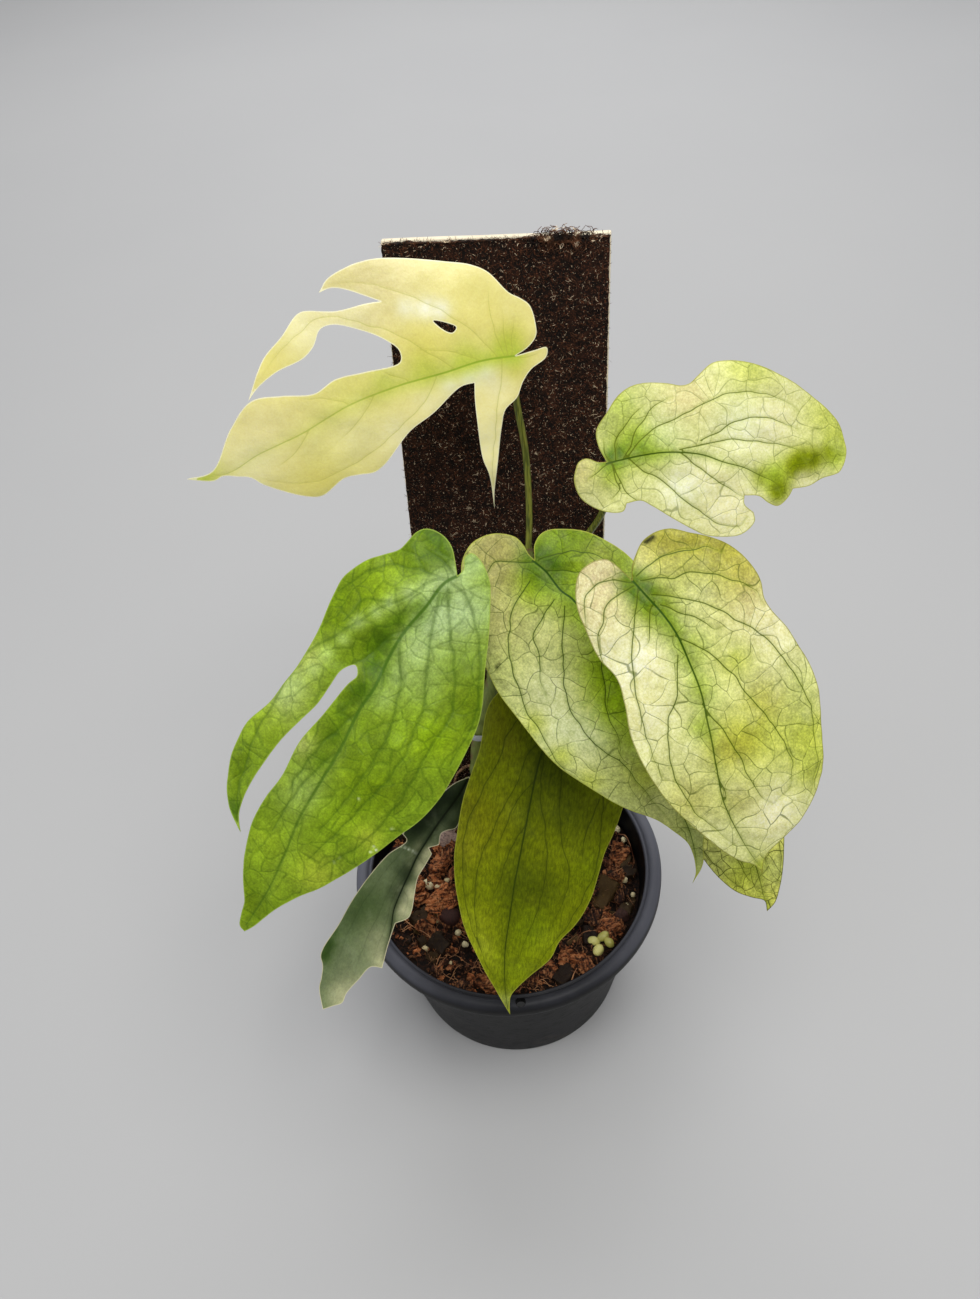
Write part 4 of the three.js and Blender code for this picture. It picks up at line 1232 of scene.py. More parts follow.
def grow_blade(name, leaf, material, slot_name):
    """The finished blade in the model's place, with the numbers that its finish reads."""
    base, along, right_way, out, length = blade_frame(leaf)
    places, triangles, rib, main_rib, rim = flat_blade(leaf)
    u, v = places[:, 0], places[:, 1]
    count = len(places)
    height = blade_relief(leaf, length, u, v, rib)
    thick = BLADE * (RIM_SHARE + (1 - RIM_SHARE) * np.minimum(rim / RIM_REACH, 1))
    keel = leaf["keel"] * np.exp(-(np.maximum(rib, 0) / KEEL_REACH) ** 2) * np.minimum(rim / 2, 1)
    flat = base + u[:, None] * along + v[:, None] * right_way
    upper = flat + (height + thick / 2)[:, None] * out
    under = flat + (height - thick / 2 - keel)[:, None] * out
    turned = triangles[:, [[0, 1], [1, 2], [2, 0]]].reshape(-1, 2)
    _, index, times = np.unique(np.sort(turned, axis=1), axis=0, return_index=True, return_counts=True)
    border = turned[index[times == 1]]
    corner = places[triangles]
    if np.cross(corner[:, 1] - corner[:, 0], corner[:, 2] - corner[:, 0]).sum() < 0:
        triangles = triangles[:, ::-1]
        border = border[:, ::-1]
    faces = [tuple(t) for t in triangles] + [tuple(t[::-1] + count) for t in triangles]
    faces += [(b, a, a + count, b + count) for a, b in border]
    mesh = bpy.data.meshes.new(name)
    mesh.from_pydata(np.vstack([upper, under]) * MM, [], faces)
    measures = {"rib": rib, "main_rib": main_rib, "rim": rim}
    numbers = {key: np.tile(np.clip(found, -1, FARTHEST), 2) for key, found in measures.items()}
    numbers["side"] = np.repeat((0.0, 1.0), count)
    for key, values in numbers.items():
        mesh.attributes.new(key, "FLOAT", "POINT").data.foreach_set("value", values)
    spots = np.column_stack([u, v, np.zeros(count)])
    layer = mesh.attributes.new("blade", "FLOAT_VECTOR", "POINT")
    layer.data.foreach_set("vector", np.vstack([spots, spots]).ravel())
    tint = np.hstack([blade_tint(leaf, places, main_rib), np.ones((count, 1))])
    layer = mesh.attributes.new("tint", "FLOAT_COLOR", "POINT")
    layer.data.foreach_set("color", np.vstack([tint, tint]).ravel())
    place_new(name, mesh)
    piece(f"{name}_blade", material, slot_name, name, angle=50)


def grow_stalk(name, leaf):
    """The stalk, from its clasping foot at the stem to where it fades out under the midrib."""
    base, along, right_way, out, length = blade_frame(leaf)
    rib_line = vein_lines(leaf, 1.0)[0][0]
    route = []
    for reach, radius, sink in STALK_END:
        u, v = rib_line[min(reach, len(rib_line) - 1)]
        z = float(blade_relief(leaf, length, np.array([u]), np.array([v]), np.zeros(1))[0]) - sink
        route.append((base + u * along + v * right_way + z * out, radius))
    stations = [route[-1][0]] + [np.array(on_board(*p)) for p in leaf["stalk"]]
    line = through(stations, STALK_STEP)[1:]
    for k, place in enumerate(line):
        knee = KNEE_SWELL * math.exp(-((k * STALK_STEP / KNEE_REACH) ** 2))
        foot = FOOT_SWELL * math.exp(-(((len(line) - 1 - k) * STALK_STEP / FOOT_REACH) ** 2))
        route.append((place, STALK_RADIUS + knee + foot))
    tubes(name, [route], sides=14)
    piece(f"{name}_stalk", stalk_finish, "stem", name, angle=60)


def grow_leaf(name, leaf, material, slot_name):
    """The blade and its stalk, which together stand for the leaf's node."""
    grow_blade(name, leaf, material, slot_name)
    grow_stalk(name, leaf)


def leaf_skin(name, look):
    """A leaf's finish: its painted ground, mottling, and a net of veins that closes on itself."""
    material, paint, _ = new_finish(name)
    spot = paint.attribute("blade", "Vector")
    along = paint.part(spot, 0, "ShaderNodeSeparateXYZ")
    to_rib = paint.attribute("rib")
    to_main = paint.attribute("main_rib")
    to_rim = paint.attribute("rim")
    below = paint.attribute("side")
    drift = paint.node("ShaderNodeTexNoise", {}, {"Vector": spot, "Scale": 0.12, "Detail": 0.0}, out=1)
    warped = drift.scaled((7, 7, 0), spot)
    cell = look["cell"]
    edges = paint.cells(warped, 1 / cell, dimensions="2D")
    tone = paint.part(paint.cells(warped, 1 / cell, "F1", "Color", dimensions="2D"))
    small = paint.cells(warped, 2.7 / cell, dimensions="2D")
    cloud = paint.noise(spot, 0.1, 3, 0.55)
    fleck = paint.noise(spot, 0.42, 4, 0.65)
    grain = paint.noise(spot.scaled(look["streak"]), 1.5, 4, 0.7)
    wide = look["line"] / cell
    fading = paint.noise(spot, 0.16, 2).between(0.3, 0.6)
    net_line = edges.between(wide, wide * 0.3) * (0.5 + 0.5 * fading)
    small_line = small.between(2.2 * wide, wide * 0.5)
    thin = to_rib.between(look["vein_soft"], 0.3 * look["vein_soft"])
    bold = 0.9 - 0.6 * along.between(0.3 * look["fade"], 1.3 * look["fade"])
    colour = paint.attribute("tint", "Color")
    for over, share, *blend in (
        (tone.between(1.0, 0.0), 1.6 * look["mosaic"], "OVERLAY"),
        (look["deep"], cloud.between(0.5, 0.72) * look["mottle"]),
        (look["pale"], cloud.between(0.5, 0.28) * look["mottle"]),
        (fleck.between(0.28, 0.72), look["fleck"], "OVERLAY"),
        (grain.between(0.28, 0.72), look["grain"], "OVERLAY"),
        (look["vein"], small_line * look["fine_net"]),
        (look["vein"], net_line * look["net"]),
        (look["deep"], to_rib.between(look["halo_reach"], 0.0) * look["halo"]),
        (look["vein"], thin * look["vein_share"]),
        (look["midrib"], to_main.between(look["vein_soft"] + 0.1, 0.0) * bold),
        (look["rim"], to_rim.between(0.4, 0.1) * 0.8),
        (look["under"], below * 0.65),
    ):
        colour = paint.mix(colour, over, share, *blend)
    relief = to_rib.between(0.0, 0.8) * look["groove"]
    relief = relief + edges.between(0.0, 0.8 / cell) * look["net_relief"]
    set_finish(
        paint,
        Base_Color=colour,
        Roughness=look["gloss"] + 0.14 * grain + 0.12 * below,
        Normal=paint.bump(relief + grain * 0.25 + fleck * 0.5, 0.0003, 0.8),
        Specular_IOR_Level=look["shine"],
        Subsurface_Weight=0.1,
        Subsurface_Radius=(0.9, 1.0, 0.2),
        Subsurface_Scale=0.0012,
    )
    return material


stalk_finish, paint, where = new_finish("green_stalk")
streaks = paint.noise(where.scaled((1, 1, 0.08)), 1900, 3)
patchy = paint.noise(where, 60, 3)
green = paint.mix(srgb(74, 84, 14), srgb(138, 142, 48), streaks.between(0.35, 0.65))
set_finish(
    paint,
    Base_Color=paint.mix(green, srgb(112, 106, 34), patchy.between(0.45, 0.65) * 0.6),
    Roughness=0.42,
    Normal=paint.bump(streaks, 0.00012),
    Specular_IOR_Level=0.35,
    Subsurface_Weight=0.08,
    Subsurface_Radius=(0.9, 1.0, 0.2),
    Subsurface_Scale=0.001,
)

CREAM = srgb(232, 227, 182)
MILK = srgb(236, 236, 216)
BUTTER = srgb(228, 218, 142)
GOLD = srgb(212, 202, 98)
TAN = srgb(206, 194, 136)
LIT = srgb(253, 246, 186)
CITRON = srgb(200, 196, 88)
FRESH = srgb(166, 186, 40)
SOFT_YELLOW = dict(
    cell=10, line=0.2, streak=(1, 1, 1), mosaic=0.0, mottle=0.06, fleck=0.06, grain=0.08, net=0.05,
    fine_net=0.0, halo=0.15, halo_reach=1.2, vein_soft=0.2, vein_share=0.35, net_relief=0.05, fade=45,
    groove=0.12, deep=srgb(198, 190, 84), pale=srgb(240, 236, 194), vein=srgb(160, 164, 56),
    midrib=srgb(140, 168, 30), rim=srgb(240, 236, 200), under=srgb(212, 206, 140), gloss=0.27, shine=0.5,
)
# Margins and veins are in millimetres, along and across the blade; a 1 marks a sharp corner.
# A colour patch is (along, across, reach, colour, strength), a lift (along, across, reach, height).
LEAF = dict(
    fold=2, wave=0.8, quilt=0.3, pucker=0.9, crimp=0.3, keel=0.35, rib=0.12, side_rib=0.03, wander=0.8,
)
LEAF_1 = dict(
    LEAF, base=(17, 46, 279), tip=(-87, 37, 253), face=(0.01, -0.95, 0.31),
    rise=7, fold=1.5, droop=7, half=38, period=47, seed=1.0,
    quilt=0.1, pucker=0.6, crimp=0.08, side_rib=0.02, wander=0.5,
    outline=[
        (0, 0, 1), (-4.5, -1), (-7.5, -3), (-8.5, -6.5), (-8.5, -11.5), (-6.5, -14.5), (-4, -17),
        (0, -24.5), (4, -28), (10, -31), (18.5, -35), (27.5, -38.5), (33, -39.5), (37, -39.5),
        (43, -38.5), (46.5, -36, 1), (43, -36), (39.5, -34.5), (31, -28, 1), (35.5, -29), (44, -30),
        (53, -33), (55.5, -32.5), (61, -29), (68, -25.5), (71.5, -22.5), (77.5, -16, 1), (73, -18.5),
        (66.5, -20.5), (57.5, -21.5), (53.5, -23.5), (50, -27), (46, -27), (38.5, -22.5), (33.5, -18),
        (31, -14), (32, -11), (42, -12), (51.5, -13), (58.5, -11.5), (68, -14), (77, -15.5),
        (86.5, -10), (98, 0), (107, 0, 1), (99, 3), (95.5, 2.5), (91, 4), (87.5, 5.5), (84.5, 9),
        (74, 16.5), (69.5, 18), (60.5, 15), (56, 15.5), (51.5, 16.5), (48, 15.5), (36.5, 8.5),
        (28, 6), (18, 2), (14, 2.5, 1), (15.5, 7), (17, 13), (19.5, 25), (19.5, 31.5), (22, 44, 1),
        (20, 38), (15, 27), (10.5, 17.5), (8, 13.5), (3.5, 11.5), (0.5, 8), (-3, 5.5), (-8.5, 4),
        (-9.5, 1.5), (-6, 0.8),
    ],
    holes=[[(19, -18), (15.5, -16), (13.5, -14), (15, -13), (17, -14.5)]],
    stalk=[(5.7, 183.3, 17.5), (7.9, 164.7, 13.2), (8.6, 141, 9.1), (8, 126, 6.4), (7, 115.6, 4.6)],
    veins=[
        [(0, 0), (9.5, -2.5), (20.5, -3.5), (35, -5), (50, -5), (67, -2), (81.5, -0.5), (93.5, 2), (106, 0)],
        [(5, -1.5), (8.5, -9), (13, -16), (18, -22), (25, -28), (34, -34), (43, -37)],
        [(3, -1), (3.5, -7), (3, -14), (1, -21)],
        [(1, -0.5), (-0.5, -5), (-3, -10)],
        [(2, -0.7), (1.5, -6), (-0.5, -13)],
        [(18, -3.5), (22, -9), (26, -13.5), (30.5, -19), (37.5, -24), (44, -28.5), (50, -30), (56, -28),
         (64, -25), (74, -19)],
        [(4, -1), (6, 4), (9, 10), (13, 18.5), (17.5, 28.5), (21.5, 41)],
        [(23, -4), (27, 0), (33, 4), (39, 6), (45, 9), (54, 11.5), (65, 13), (74, 12), (84, 7)],
        [(42.5, -5), (47, -1.5), (52, 1.5), (58, 4)],
        [(31.5, -5), (35, -8), (38, -11)],
        [(50, -5), (55, -8.5), (62.5, -11.5)],
        [(0.5, 0), (-3, 1.5), (-7, 2.2)],
        [(64, -2.5), (70, 2), (78, 5)],
        [(10, -2.5), (14, -6), (20, -10), (26, -12)],
    ],
    ground=BUTTER,
    # The small near-white patches near the foot and midrib are painted gloss highlights, and the LIT patches
    # are painted light, strongest on the long lobe that turns down.
    patches=[
        (35, -32, 16, TAN, 0.85), (48, -8, 12, CITRON, 0.5), (6, -14, 12, GOLD, 0.5),
        (24, -12, 9, GOLD, 0.8), (77, 0, 10, LIT, 0.35), (60, 4, 9, LIT, 0.25),
        (-1, -5, 5, CITRON, 0.9), (20, -22, 3, MILK, 0.8), (16, -20, 3, MILK, 0.8), (25, -24, 3, MILK, 0.6),
        (10, 1, 3, MILK, 0.7), (15, 0.5, 3, MILK, 0.8), (21, 0.5, 3, MILK, 0.6), (8, 6, 5, CREAM, 0.6),
        (62, 7, 14, CITRON, 0.4), (75, -5, 12, TAN, 0.4), (40, 8, 6, CREAM, 0.6), (28, 3, 5, CREAM, 0.5),
        (78, 13, 8, GOLD, 0.5), (104, 0, 8, FRESH, 0.8), (18, 32, 14, LIT, 0.8), (55, -29, 9, CREAM, 0.7),
        (66, -23, 8, GOLD, 0.5), (42, -27, 7, CREAM, 0.5), (1, 3, 4, CITRON, 0.8), (44, -34, 5, TAN, 0.5),
        (16, 20, 8, LIT, 0.8), (2, -4, 4, FRESH, 0.6), (14, -5, 5, FRESH, 0.5), (26, -7, 5, FRESH, 0.4),
        (38, -8, 4, FRESH, 0.35), (52, 4, 8, CREAM, 0.4), (68, 14, 6, GOLD, 0.6), (86, 2, 9, CREAM, 0.5),
    ],
    rib_tint=(srgb(162, 190, 30), 2.6, 0.7, 40),
)
grow_leaf("leaf_1", LEAF_1, leaf_skin("butter_leaf", SOFT_YELLOW), "leaf_butter")

# Leaf 2: cream with a lime edge, broad and blunt, its margin nicked and curled back at the foot.
# It is thin and limp, and its junction with the stalk is bright green.
PALE = srgb(208, 210, 142)
LIME = srgb(178, 188, 58)
SPRING = srgb(142, 168, 30)
MOSS = srgb(96, 120, 4)
JUNCTION = srgb(58, 96, 4)
OLIVE_SPOT = srgb(106, 120, 0)
# GLINT is a painted highlight, laid where leaves 2 and 3 catch the light.
GLINT = srgb(232, 236, 206)
SAND = srgb(178, 170, 108)
CELERY = srgb(166, 176, 92)
CREAM_SKIN = dict(
    SOFT_YELLOW,
    cell=6.5, mosaic=0.04, mottle=0.12, fleck=0.18, grain=0.24, net=0.55, fine_net=0.1, halo=0.3,
    vein_soft=0.22, vein_share=0.85, net_relief=0.2, fade=34, groove=0.4,
    deep=srgb(146, 160, 46), pale=srgb(238, 236, 198), vein=srgb(84, 98, 8), midrib=srgb(52, 78, 4),
    rim=srgb(150, 150, 62), under=srgb(198, 196, 140), gloss=0.34, shine=0.09,
)
LEAF_2 = dict(
    LEAF, base=(41, 24, 254), tip=(95, 18, 241), face=(0.04, -0.84, 0.55),
    rise=4, droop=6, half=34, wave=1.2, period=38, seed=2.0,
    pucker=1.0, keel=0.3, rib=0.06, wander=0.7,
    lifts=[(-5, -6, 6, 2.2), (22, 22, 14, 1.5), (30, -14, 10, -1.5)],
    outline=[
        (0, 0, 1), (-3, 4), (-4.5, 8.5), (-2.5, 14), (0, 19.5), (3, 22.5), (6.5, 24), (13.5, 25),
        (17, 25), (19.5, 26), (21.5, 28.5), (25.5, 33), (30, 34.5), (34.5, 35), (40, 34.5), (45, 33.5),
        (53, 31.5), (60.5, 28.5), (66, 25.5), (70, 22.5), (73.5, 16.5), (74, 12.5), (73, 8.5), (68, 6),
        (63.5, 3), (58, 1.3, 1), (57.5, -0.5), (56, -3), (54, -4.5), (50.5, -4), (47, -2.5),
        (42.5, -3, 1), (43, -5.5), (46.5, -7.5, 1), (47.5, -10), (46, -13), (43.5, -15), (40, -16),
        (33.5, -16.5), (29.5, -15.5), (22, -13), (15.5, -10.5), (12, -9.5), (8, -11, 1), (7.5, -13.5),
        (2, -14.5), (-4.5, -12.5), (-7, -10), (-8.5, -6.5), (-8.5, -4), (-8, -1.5), (-6, 0),
        (-2.5, -0.5),
    ],
    stalk=[(33.6, 160.6, 32.4), (33.1, 150.5, 27.3), (29.4, 138.2, 19.1), (19.5, 121, 9.5), (4, 104, 4.4)],
    veins=[
        [(0, -0.5), (3.5, 1), (9.5, 3.5), (16, 5.5), (23.5, 6.5), (28, 6.5), (34, 5.5), (40, 5),
         (46, 3.5), (51.5, 2), (55, -1.5)],
        [(20, 7), (26.5, 9.5), (32, 11.5), (39, 12.5), (48.5, 13), (56.5, 12.5), (61, 9.5)],
        [(5.5, 2), (8.5, 8), (11, 11), (18.5, 16.5), (25, 21.5), (31.5, 25), (40.5, 27), (49, 26),
         (55, 24)],
        [(25.5, 10.5), (31, 14.5), (35, 17.5), (42.5, 20.5), (49.5, 20), (56, 18.5)],
        [(6, 2), (10, -0.5), (16, -2.5), (22, -6), (28, -9), (34, -11.5), (39, -12.5), (43, -12),
         (45, -9)],
        [(20.5, 6), (26, 3), (31.5, 0.5), (37.5, -2), (42.5, -3.5)],
        [(1.5, 0), (-1, 2.5), (-2, 6.5)],
        [(2.5, 0.5), (2, 7), (4.5, 13.5), (8, 18)],
        [(1.5, 0), (3.5, -4), (5, -7.5), (3.5, -11)],
        [(1.5, 0), (-2, -3), (-4.5, -6)],
        [(2, -0.5), (5, -5), (9, -9), (13.5, -10.5)],
        [(4.5, 1.5), (6, 6.5), (7.5, 12), (11, 18.5), (15.5, 21.5)],
    ],
    patches=[
        (40, -8, 12, CREAM, 0.8), (26, 0, 10, CREAM, 0.8), (46, 20, 10, CREAM, 0.7),
        (30, 22, 9, PALE, 0.5), (36, 17, 8, GLINT, 0.6), (37, 34, 8, LIME, 0.5),
        (65, 24, 8, LIME, 0.5), (25, 11, 8, PALE, 0.5), (12, 7, 7, SPRING, 0.7),
        (-7, -5, 7, SAND, 0.9), (19, 22, 7, TAN, 0.75), (5, 7, 6, SPRING, 0.7),
        (23, -4, 6, GLINT, 0.7), (15, 11, 6, GLINT, 0.4), (0, 17, 6, SPRING, 0.45),
        (-2, 11, 6, CELERY, 0.7), (-3, -10, 5, PALE, 0.6), (51, 4, 5, SPRING, 0.8),
        (71, 14, 5, SPRING, 0.7), (62, 3, 5, CREAM, 0.5), (71, 18, 5, LIME, 0.5),
        (2, -3, 4.5, SPRING, 0.6), (57, 8, 4, OLIVE_SPOT, 1), (59, 10, 3.6, OLIVE_SPOT, 1),
        (8, 6, 3.4, JUNCTION, 0.4), (63, 11, 3.4, OLIVE_SPOT, 0.9), (53, 0, 3.4, OLIVE_SPOT, 1),
        (68, 14, 3, OLIVE_SPOT, 0.6), (46, 3, 3, OLIVE_SPOT, 0.5), (1, 1, 2.7, JUNCTION, 1),
        (60, 5, 2.6, CREAM, 0.5), (3, 3, 2.4, JUNCTION, 0.7),
    ],
    ground=PALE,
    rib_tint=(srgb(96, 128, 20), 1.6, 0.8, 24),
)
grow_leaf("leaf_2", LEAF_2, leaf_skin("cream_leaf_high", CREAM_SKIN), "leaf_cream")

# Leaf 3, the largest of the pale ones: heart-shaped, cream and lime in patches between dark thin
# veins, deep green where the stalk joins. It hangs forward on a long stalk.
DEEP = srgb(34, 70, 2)
WHEAT = srgb(200, 188, 142)
STRAW = srgb(148, 142, 40)
SAGE = srgb(172, 180, 104)
DEAD_SPOT = srgb(26, 26, 10)
LARGE_SKIN = dict(
    CREAM_SKIN,
    net=0.7, mosaic=0.06, grain=0.28, fleck=0.2, fade=42, deep=srgb(134, 146, 32),
    vein=srgb(66, 84, 2), midrib=srgb(36, 72, 2), rim=srgb(126, 124, 44), under=srgb(190, 190, 130),
)
LEAF_3 = dict(
    LEAF, base=(41, -22, 248), tip=(74, -70, 172), face=(0.02, -0.84, 0.54),
    rise=7, droop=7, half=34, period=60, seed=3.0,
    quilt=0.35, pucker=1.0, rib=0.1,
    lifts=[(8, -12, 10, 1.2), (15, 20, 12, 1.0), (60, 8, 16, 0.8)],
    outline=[
        (0, 0, 1), (-3, 1.5), (-5.5, 4), (-8, 7.5), (-8.5, 11.5), (-7.5, 15.5), (-4.5, 19.5),
        (-1.5, 23.5), (2, 27), (6, 29.5), (10.5, 31), (15.5, 31.5), (20, 30.5), (24, 31), (30, 33),
        (36, 34), (42.5, 35), (48.5, 34.5), (54.5, 33), (64.5, 29.5), (74.5, 25.5), (82, 18.5),
        (86, 11), (89.5, 3.5), (92, 1.5), (96, 0, 1), (91.5, -1.5), (87.5, -5), (82.5, -8),
        (75.5, -11), (68, -14), (60.5, -16.5), (52, -18), (44, -18.5), (37, -18), (29, -16), (22, -15),
        (15, -17), (6.5, -17), (0.5, -16.5), (-4.5, -14.5), (-7.5, -12), (-8.5, -9), (-8.5, -6),
        (-7.5, -3.5), (-4, -1.5),
    ],
    stalk=[(43, 155, 74), (50, 146, 60), (51, 130, 44), (36, 111, 22), (0, 89, 4.4)],
    veins=[
        [(0, 0), (5, 1.5), (11.5, 3.5), (17.5, 4.5), (25, 4.5), (34.5, 4), (44.5, 2), (56, -0.5),
         (67, -2.5), (80, -2), (88, -1), (95.5, 0.5)],
        [(18, 4), (21.5, 7), (28, 11.5), (36, 14), (45, 16.5), (53.5, 18.5), (63.5, 19.5), (70, 17.5),
         (72.5, 15), (74.5, 10.5)],
        [(5.5, 3), (9.5, 9.5), (14, 15), (21, 20.5), (29, 25.5), (38, 29), (46.5, 30), (54.5, 30),
         (64.5, 27), (74, 23.5), (80.5, 18.5)],
        [(1, 2), (3.5, 9.5), (6, 17.5), (11, 24), (16.5, 28.5), (22, 29.5)],
        [(-0.5, 1.5), (-2, 6.5), (-1, 15), (1, 21.5), (4.5, 26)],
        [(2.5, 0.5), (9.5, -4), (19, -9.5), (28, -12), (38, -14), (45.5, -15), (54, -14.5)],
        [(1.5, -0.5), (2.5, -7.5), (6, -12), (13, -16), (21.5, -17)],
        [(0.5, -0.5), (-3, -8), (-0.5, -14), (7, -17)],
        [(23, 2.5), (31.5, -2), (39.5, -7.5), (47.5, -10.5), (56.5, -12), (64.5, -11.5), (72.5, -8.5),
         (82, -4.5)],
        [(38, 3), (46.5, 5), (55, 6.5), (62.5, 6.5), (72.5, 8.5), (74.5, 10)],
        [(56, -0.5), (60.5, -1), (67, -1.5)],
        [(-0.5, 0), (-3.5, 2), (-6, 5.5)],
        [(7.5, 3), (10, 0.5), (16, -2.5), (17, -4.5)],
        [(9, 4), (15, 10), (20.5, 14.5), (21.5, 16.5)],
    ],
    patches=[
        (18, -11, 14, CREAM, 0.75), (-5, -7, 13, WHEAT, 0.95), (-1, 22, 12, STRAW, 0.88),
        (16, 30, 11, TAN, 0.85), (30, 30, 11, CREAM, 0.6), (60, 26, 10, LIME, 0.8),
        (52, 11, 10, LIME, 0.75), (52, -11, 10, PALE, 0.6), (35, -14, 10, CREAM, 0.5),
        (19, -4, 9, CREAM, 0.8), (8, 28, 9, STRAW, 0.7), (48, 29, 9, SAGE, 0.5),
        (2, -15, 8, WHEAT, 0.6), (-6, 13, 8, STRAW, 0.7), (8, 15, 8, SAGE, 0.5),
        (78, 9, 8, CREAM, 0.8), (62, -11, 7, STRAW, 0.4), (8, 2, 6, MOSS, 0.9),
        (23, 6, 6, SPRING, 0.5), (19, -10, 6, GLINT, 0.4), (53, 9, 6, STRAW, 0.4),
        (52, 3, 6, STRAW, 0.5), (45, 19, 6, STRAW, 0.45), (68, 1, 6, STRAW, 0.35),
        (71, 24, 6, LIME, 0.6), (15, 4, 5, MOSS, 0.4), (34, 4, 5, SPRING, 0.4),
        (14, 12, 5, PALE, 0.45), (31, 16, 5, LIME, 0.6), (44, 0, 4, MOSS, 0.5), (93, 1, 4, LIME, 0.8),
        (1, 0, 3.2, DEEP, 1), (4, 1, 3, DEEP, 0.75), (-7.3, 7.7, 0.6, DEAD_SPOT, 1),
        (-7.4, 8.5, 0.6, DEAD_SPOT, 1), (-7.5, 9.3, 0.6, DEAD_SPOT, 1), (-7.6, 10.1, 0.6, DEAD_SPOT, 1),
    ],
    ground=PALE,
    rib_tint=(srgb(84, 118, 8), 2.6, 0.85, 30),
)
grow_leaf("leaf_3", LEAF_3, leaf_skin("cream_leaf_large", LARGE_SKIN), "leaf_cream")

# Leaf 4: heart-shaped, tan and cream on one half and green on the other, behind leaf 3. Its tip
# draws out to a long thin point that hangs.
KHAKI = srgb(158, 150, 90)
FERN = srgb(112, 138, 24)
MILKY = srgb(218, 224, 184)
VIVID = srgb(150, 186, 10)
LOW_SKIN = dict(
    CREAM_SKIN,
    cell=7, net=0.66, grain=0.28, fleck=0.22, fade=55, deep=srgb(108, 130, 24), pale=srgb(218, 220, 172),
    vein=srgb(52, 74, 4), midrib=srgb(34, 70, 4), rim=srgb(160, 164, 66), under=srgb(176, 180, 118),
)
LEAF_4 = dict(
    LEAF, base=(17, 6, 234), tip=(58, -60, 152), face=(-0.03, -0.79, 0.62),
    rise=7, droop=6, half=34, period=64, seed=4.0,
    outline=[
        (0, 0, 1), (-2.5, -0.8), (-5.5, -1), (-8.5, -2), (-11.5, -5.5), (-13, -9.5), (-13, -14),
        (-12, -16.5), (-9, -20), (-1.5, -23.5), (7, -26), (14.5, -27), (22, -27.5), (30.5, -27.5),
        (41, -25.5), (51, -23.5), (58, -21.5), (64, -18.5), (71.5, -14), (79, -9), (87, -2), (92.5, 1),
        (98.5, 3.5), (103, 3.5), (106.5, 2.8), (110, 1.5), (112.5, -0.5, 1), (107.5, 5), (101, 8),
        (94.5, 11.5), (85.5, 15.5), (75, 18.5), (64, 21), (53, 23.5), (42.5, 25.5), (32, 26.5),
        (24, 27), (20, 27.5), (16, 27), (9, 24.5), (1.5, 19.5), (-1.5, 16.5), (-4, 12.5), (-6, 8),
        (-6, 5), (-4, 2),
    ],
    stalk=[(10.4, 135.1, 42.6), (8, 116.6, 25.1), (4, 103, 13), (0, 89, 4.4)],
    veins=[
        [(0, -0.5), (4.5, 1.5), (11.5, 3), (15.5, 5), (29.5, 7), (46.5, 7.5), (67, 7), (84, 6),
         (96.5, 5.5), (107, 3), (112.5, 0)],
        [(5, -4), (9.5, -11), (17.5, -17.5), (26.5, -20.5), (37.5, -22), (49.5, -21), (58.5, -20.5),
         (64.5, -18.5), (72, -14)],
        [(16, 2), (25, -3), (38.5, -9), (49.5, -10), (59.5, -7.5), (65, -3.5), (74.5, -1.5),
         (80.5, -0.5), (88.5, 1.5)],
        [(13, 0), (17, -6), (20, -10), (26, -11), (32.5, -14.5), (37, -15)],
        [(24.5, 6), (33.5, 5), (43.5, 1.5), (51, -0.5), (59, -1.5), (65, -3.5)],
        [(0.5, -0.5), (-2.5, -7), (-4.5, -11), (-3, -14), (0, -16.5)],
        [(0.5, 1), (1.5, 8), (4.5, 14.5), (9.5, 19), (14.5, 21)],
        [(4, 1.5), (7.5, 8), (10.5, 13)],
        [(29.5, 7), (41.5, 14), (50.5, 15), (67, 13.5)],
        [(48.5, 7.5), (59, 12.5), (76.5, 12.5), (87, 11.5)],
    ],
    # The MILKY and VIVID patches are painted light, lifting the parts of this leaf that leaf 3 shades.
    patches=[
        (1, 14, 14, FERN, 0.95), (55, -9, 12, PALE, 0.8), (-9, -7, 10, KHAKI, 0.9),
        (-2, -13, 10, KHAKI, 0.7), (38, 4, 10, SPRING, 0.75), (21, -6, 10, PALE, 0.6),
        (34, -15, 10, PALE, 0.8), (12, -18, 9, SAND, 0.5), (-2, 8, 9, FERN, 0.8),
        (10, 20, 9, FERN, 0.8), (50, 1, 9, SPRING, 0.7), (40, -5, 9, PALE, 0.6),
        (49, -16, 9, MILKY, 0.6), (-3, 15, 8, MOSS, 0.4), (21, 7, 7, SPRING, 0.85),
        (61, 3, 7, SPRING, 0.7), (54, -9, 7, MILKY, 0.5), (36, -14, 7, MILKY, 0.4),
        (39, 4, 7, VIVID, 0.75), (48, 3, 7, VIVID, 0.7), (8, 18, 6, KHAKI, 0.4),
        (7, -3, 6, SPRING, 0.9), (13, 7, 6, SPRING, 0.8), (73, 2, 6, LIME, 0.7), (89, 4, 6, LIME, 0.4),
        (87, 3, 6, PALE, 0.6), (103, 4, 6, SAGE, 0.8), (5, 5, 5, MOSS, 0.6), (83, 2, 5, PALE, 0.4),
        (1, 1, 4.4, DEEP, 1), (5, 2, 4, DEEP, 0.85), (5, -2, 4, MOSS, 0.6), (44, -22, 4, LIME, 0.6),
        (56, -19, 4, LIME, 0.6), (67, -15, 4, LIME, 0.5), (23.6, -24.4, 0.6, DEAD_SPOT, 0.7),
        (23.1, -23.3, 0.6, DEAD_SPOT, 0.6),
    ],
    ground=SAGE,
    rib_tint=(srgb(98, 126, 30), 2.6, 0.8, 60),
)
grow_leaf("leaf_4", LEAF_4, leaf_skin("cream_leaf_low", LOW_SKIN), "leaf_cream")

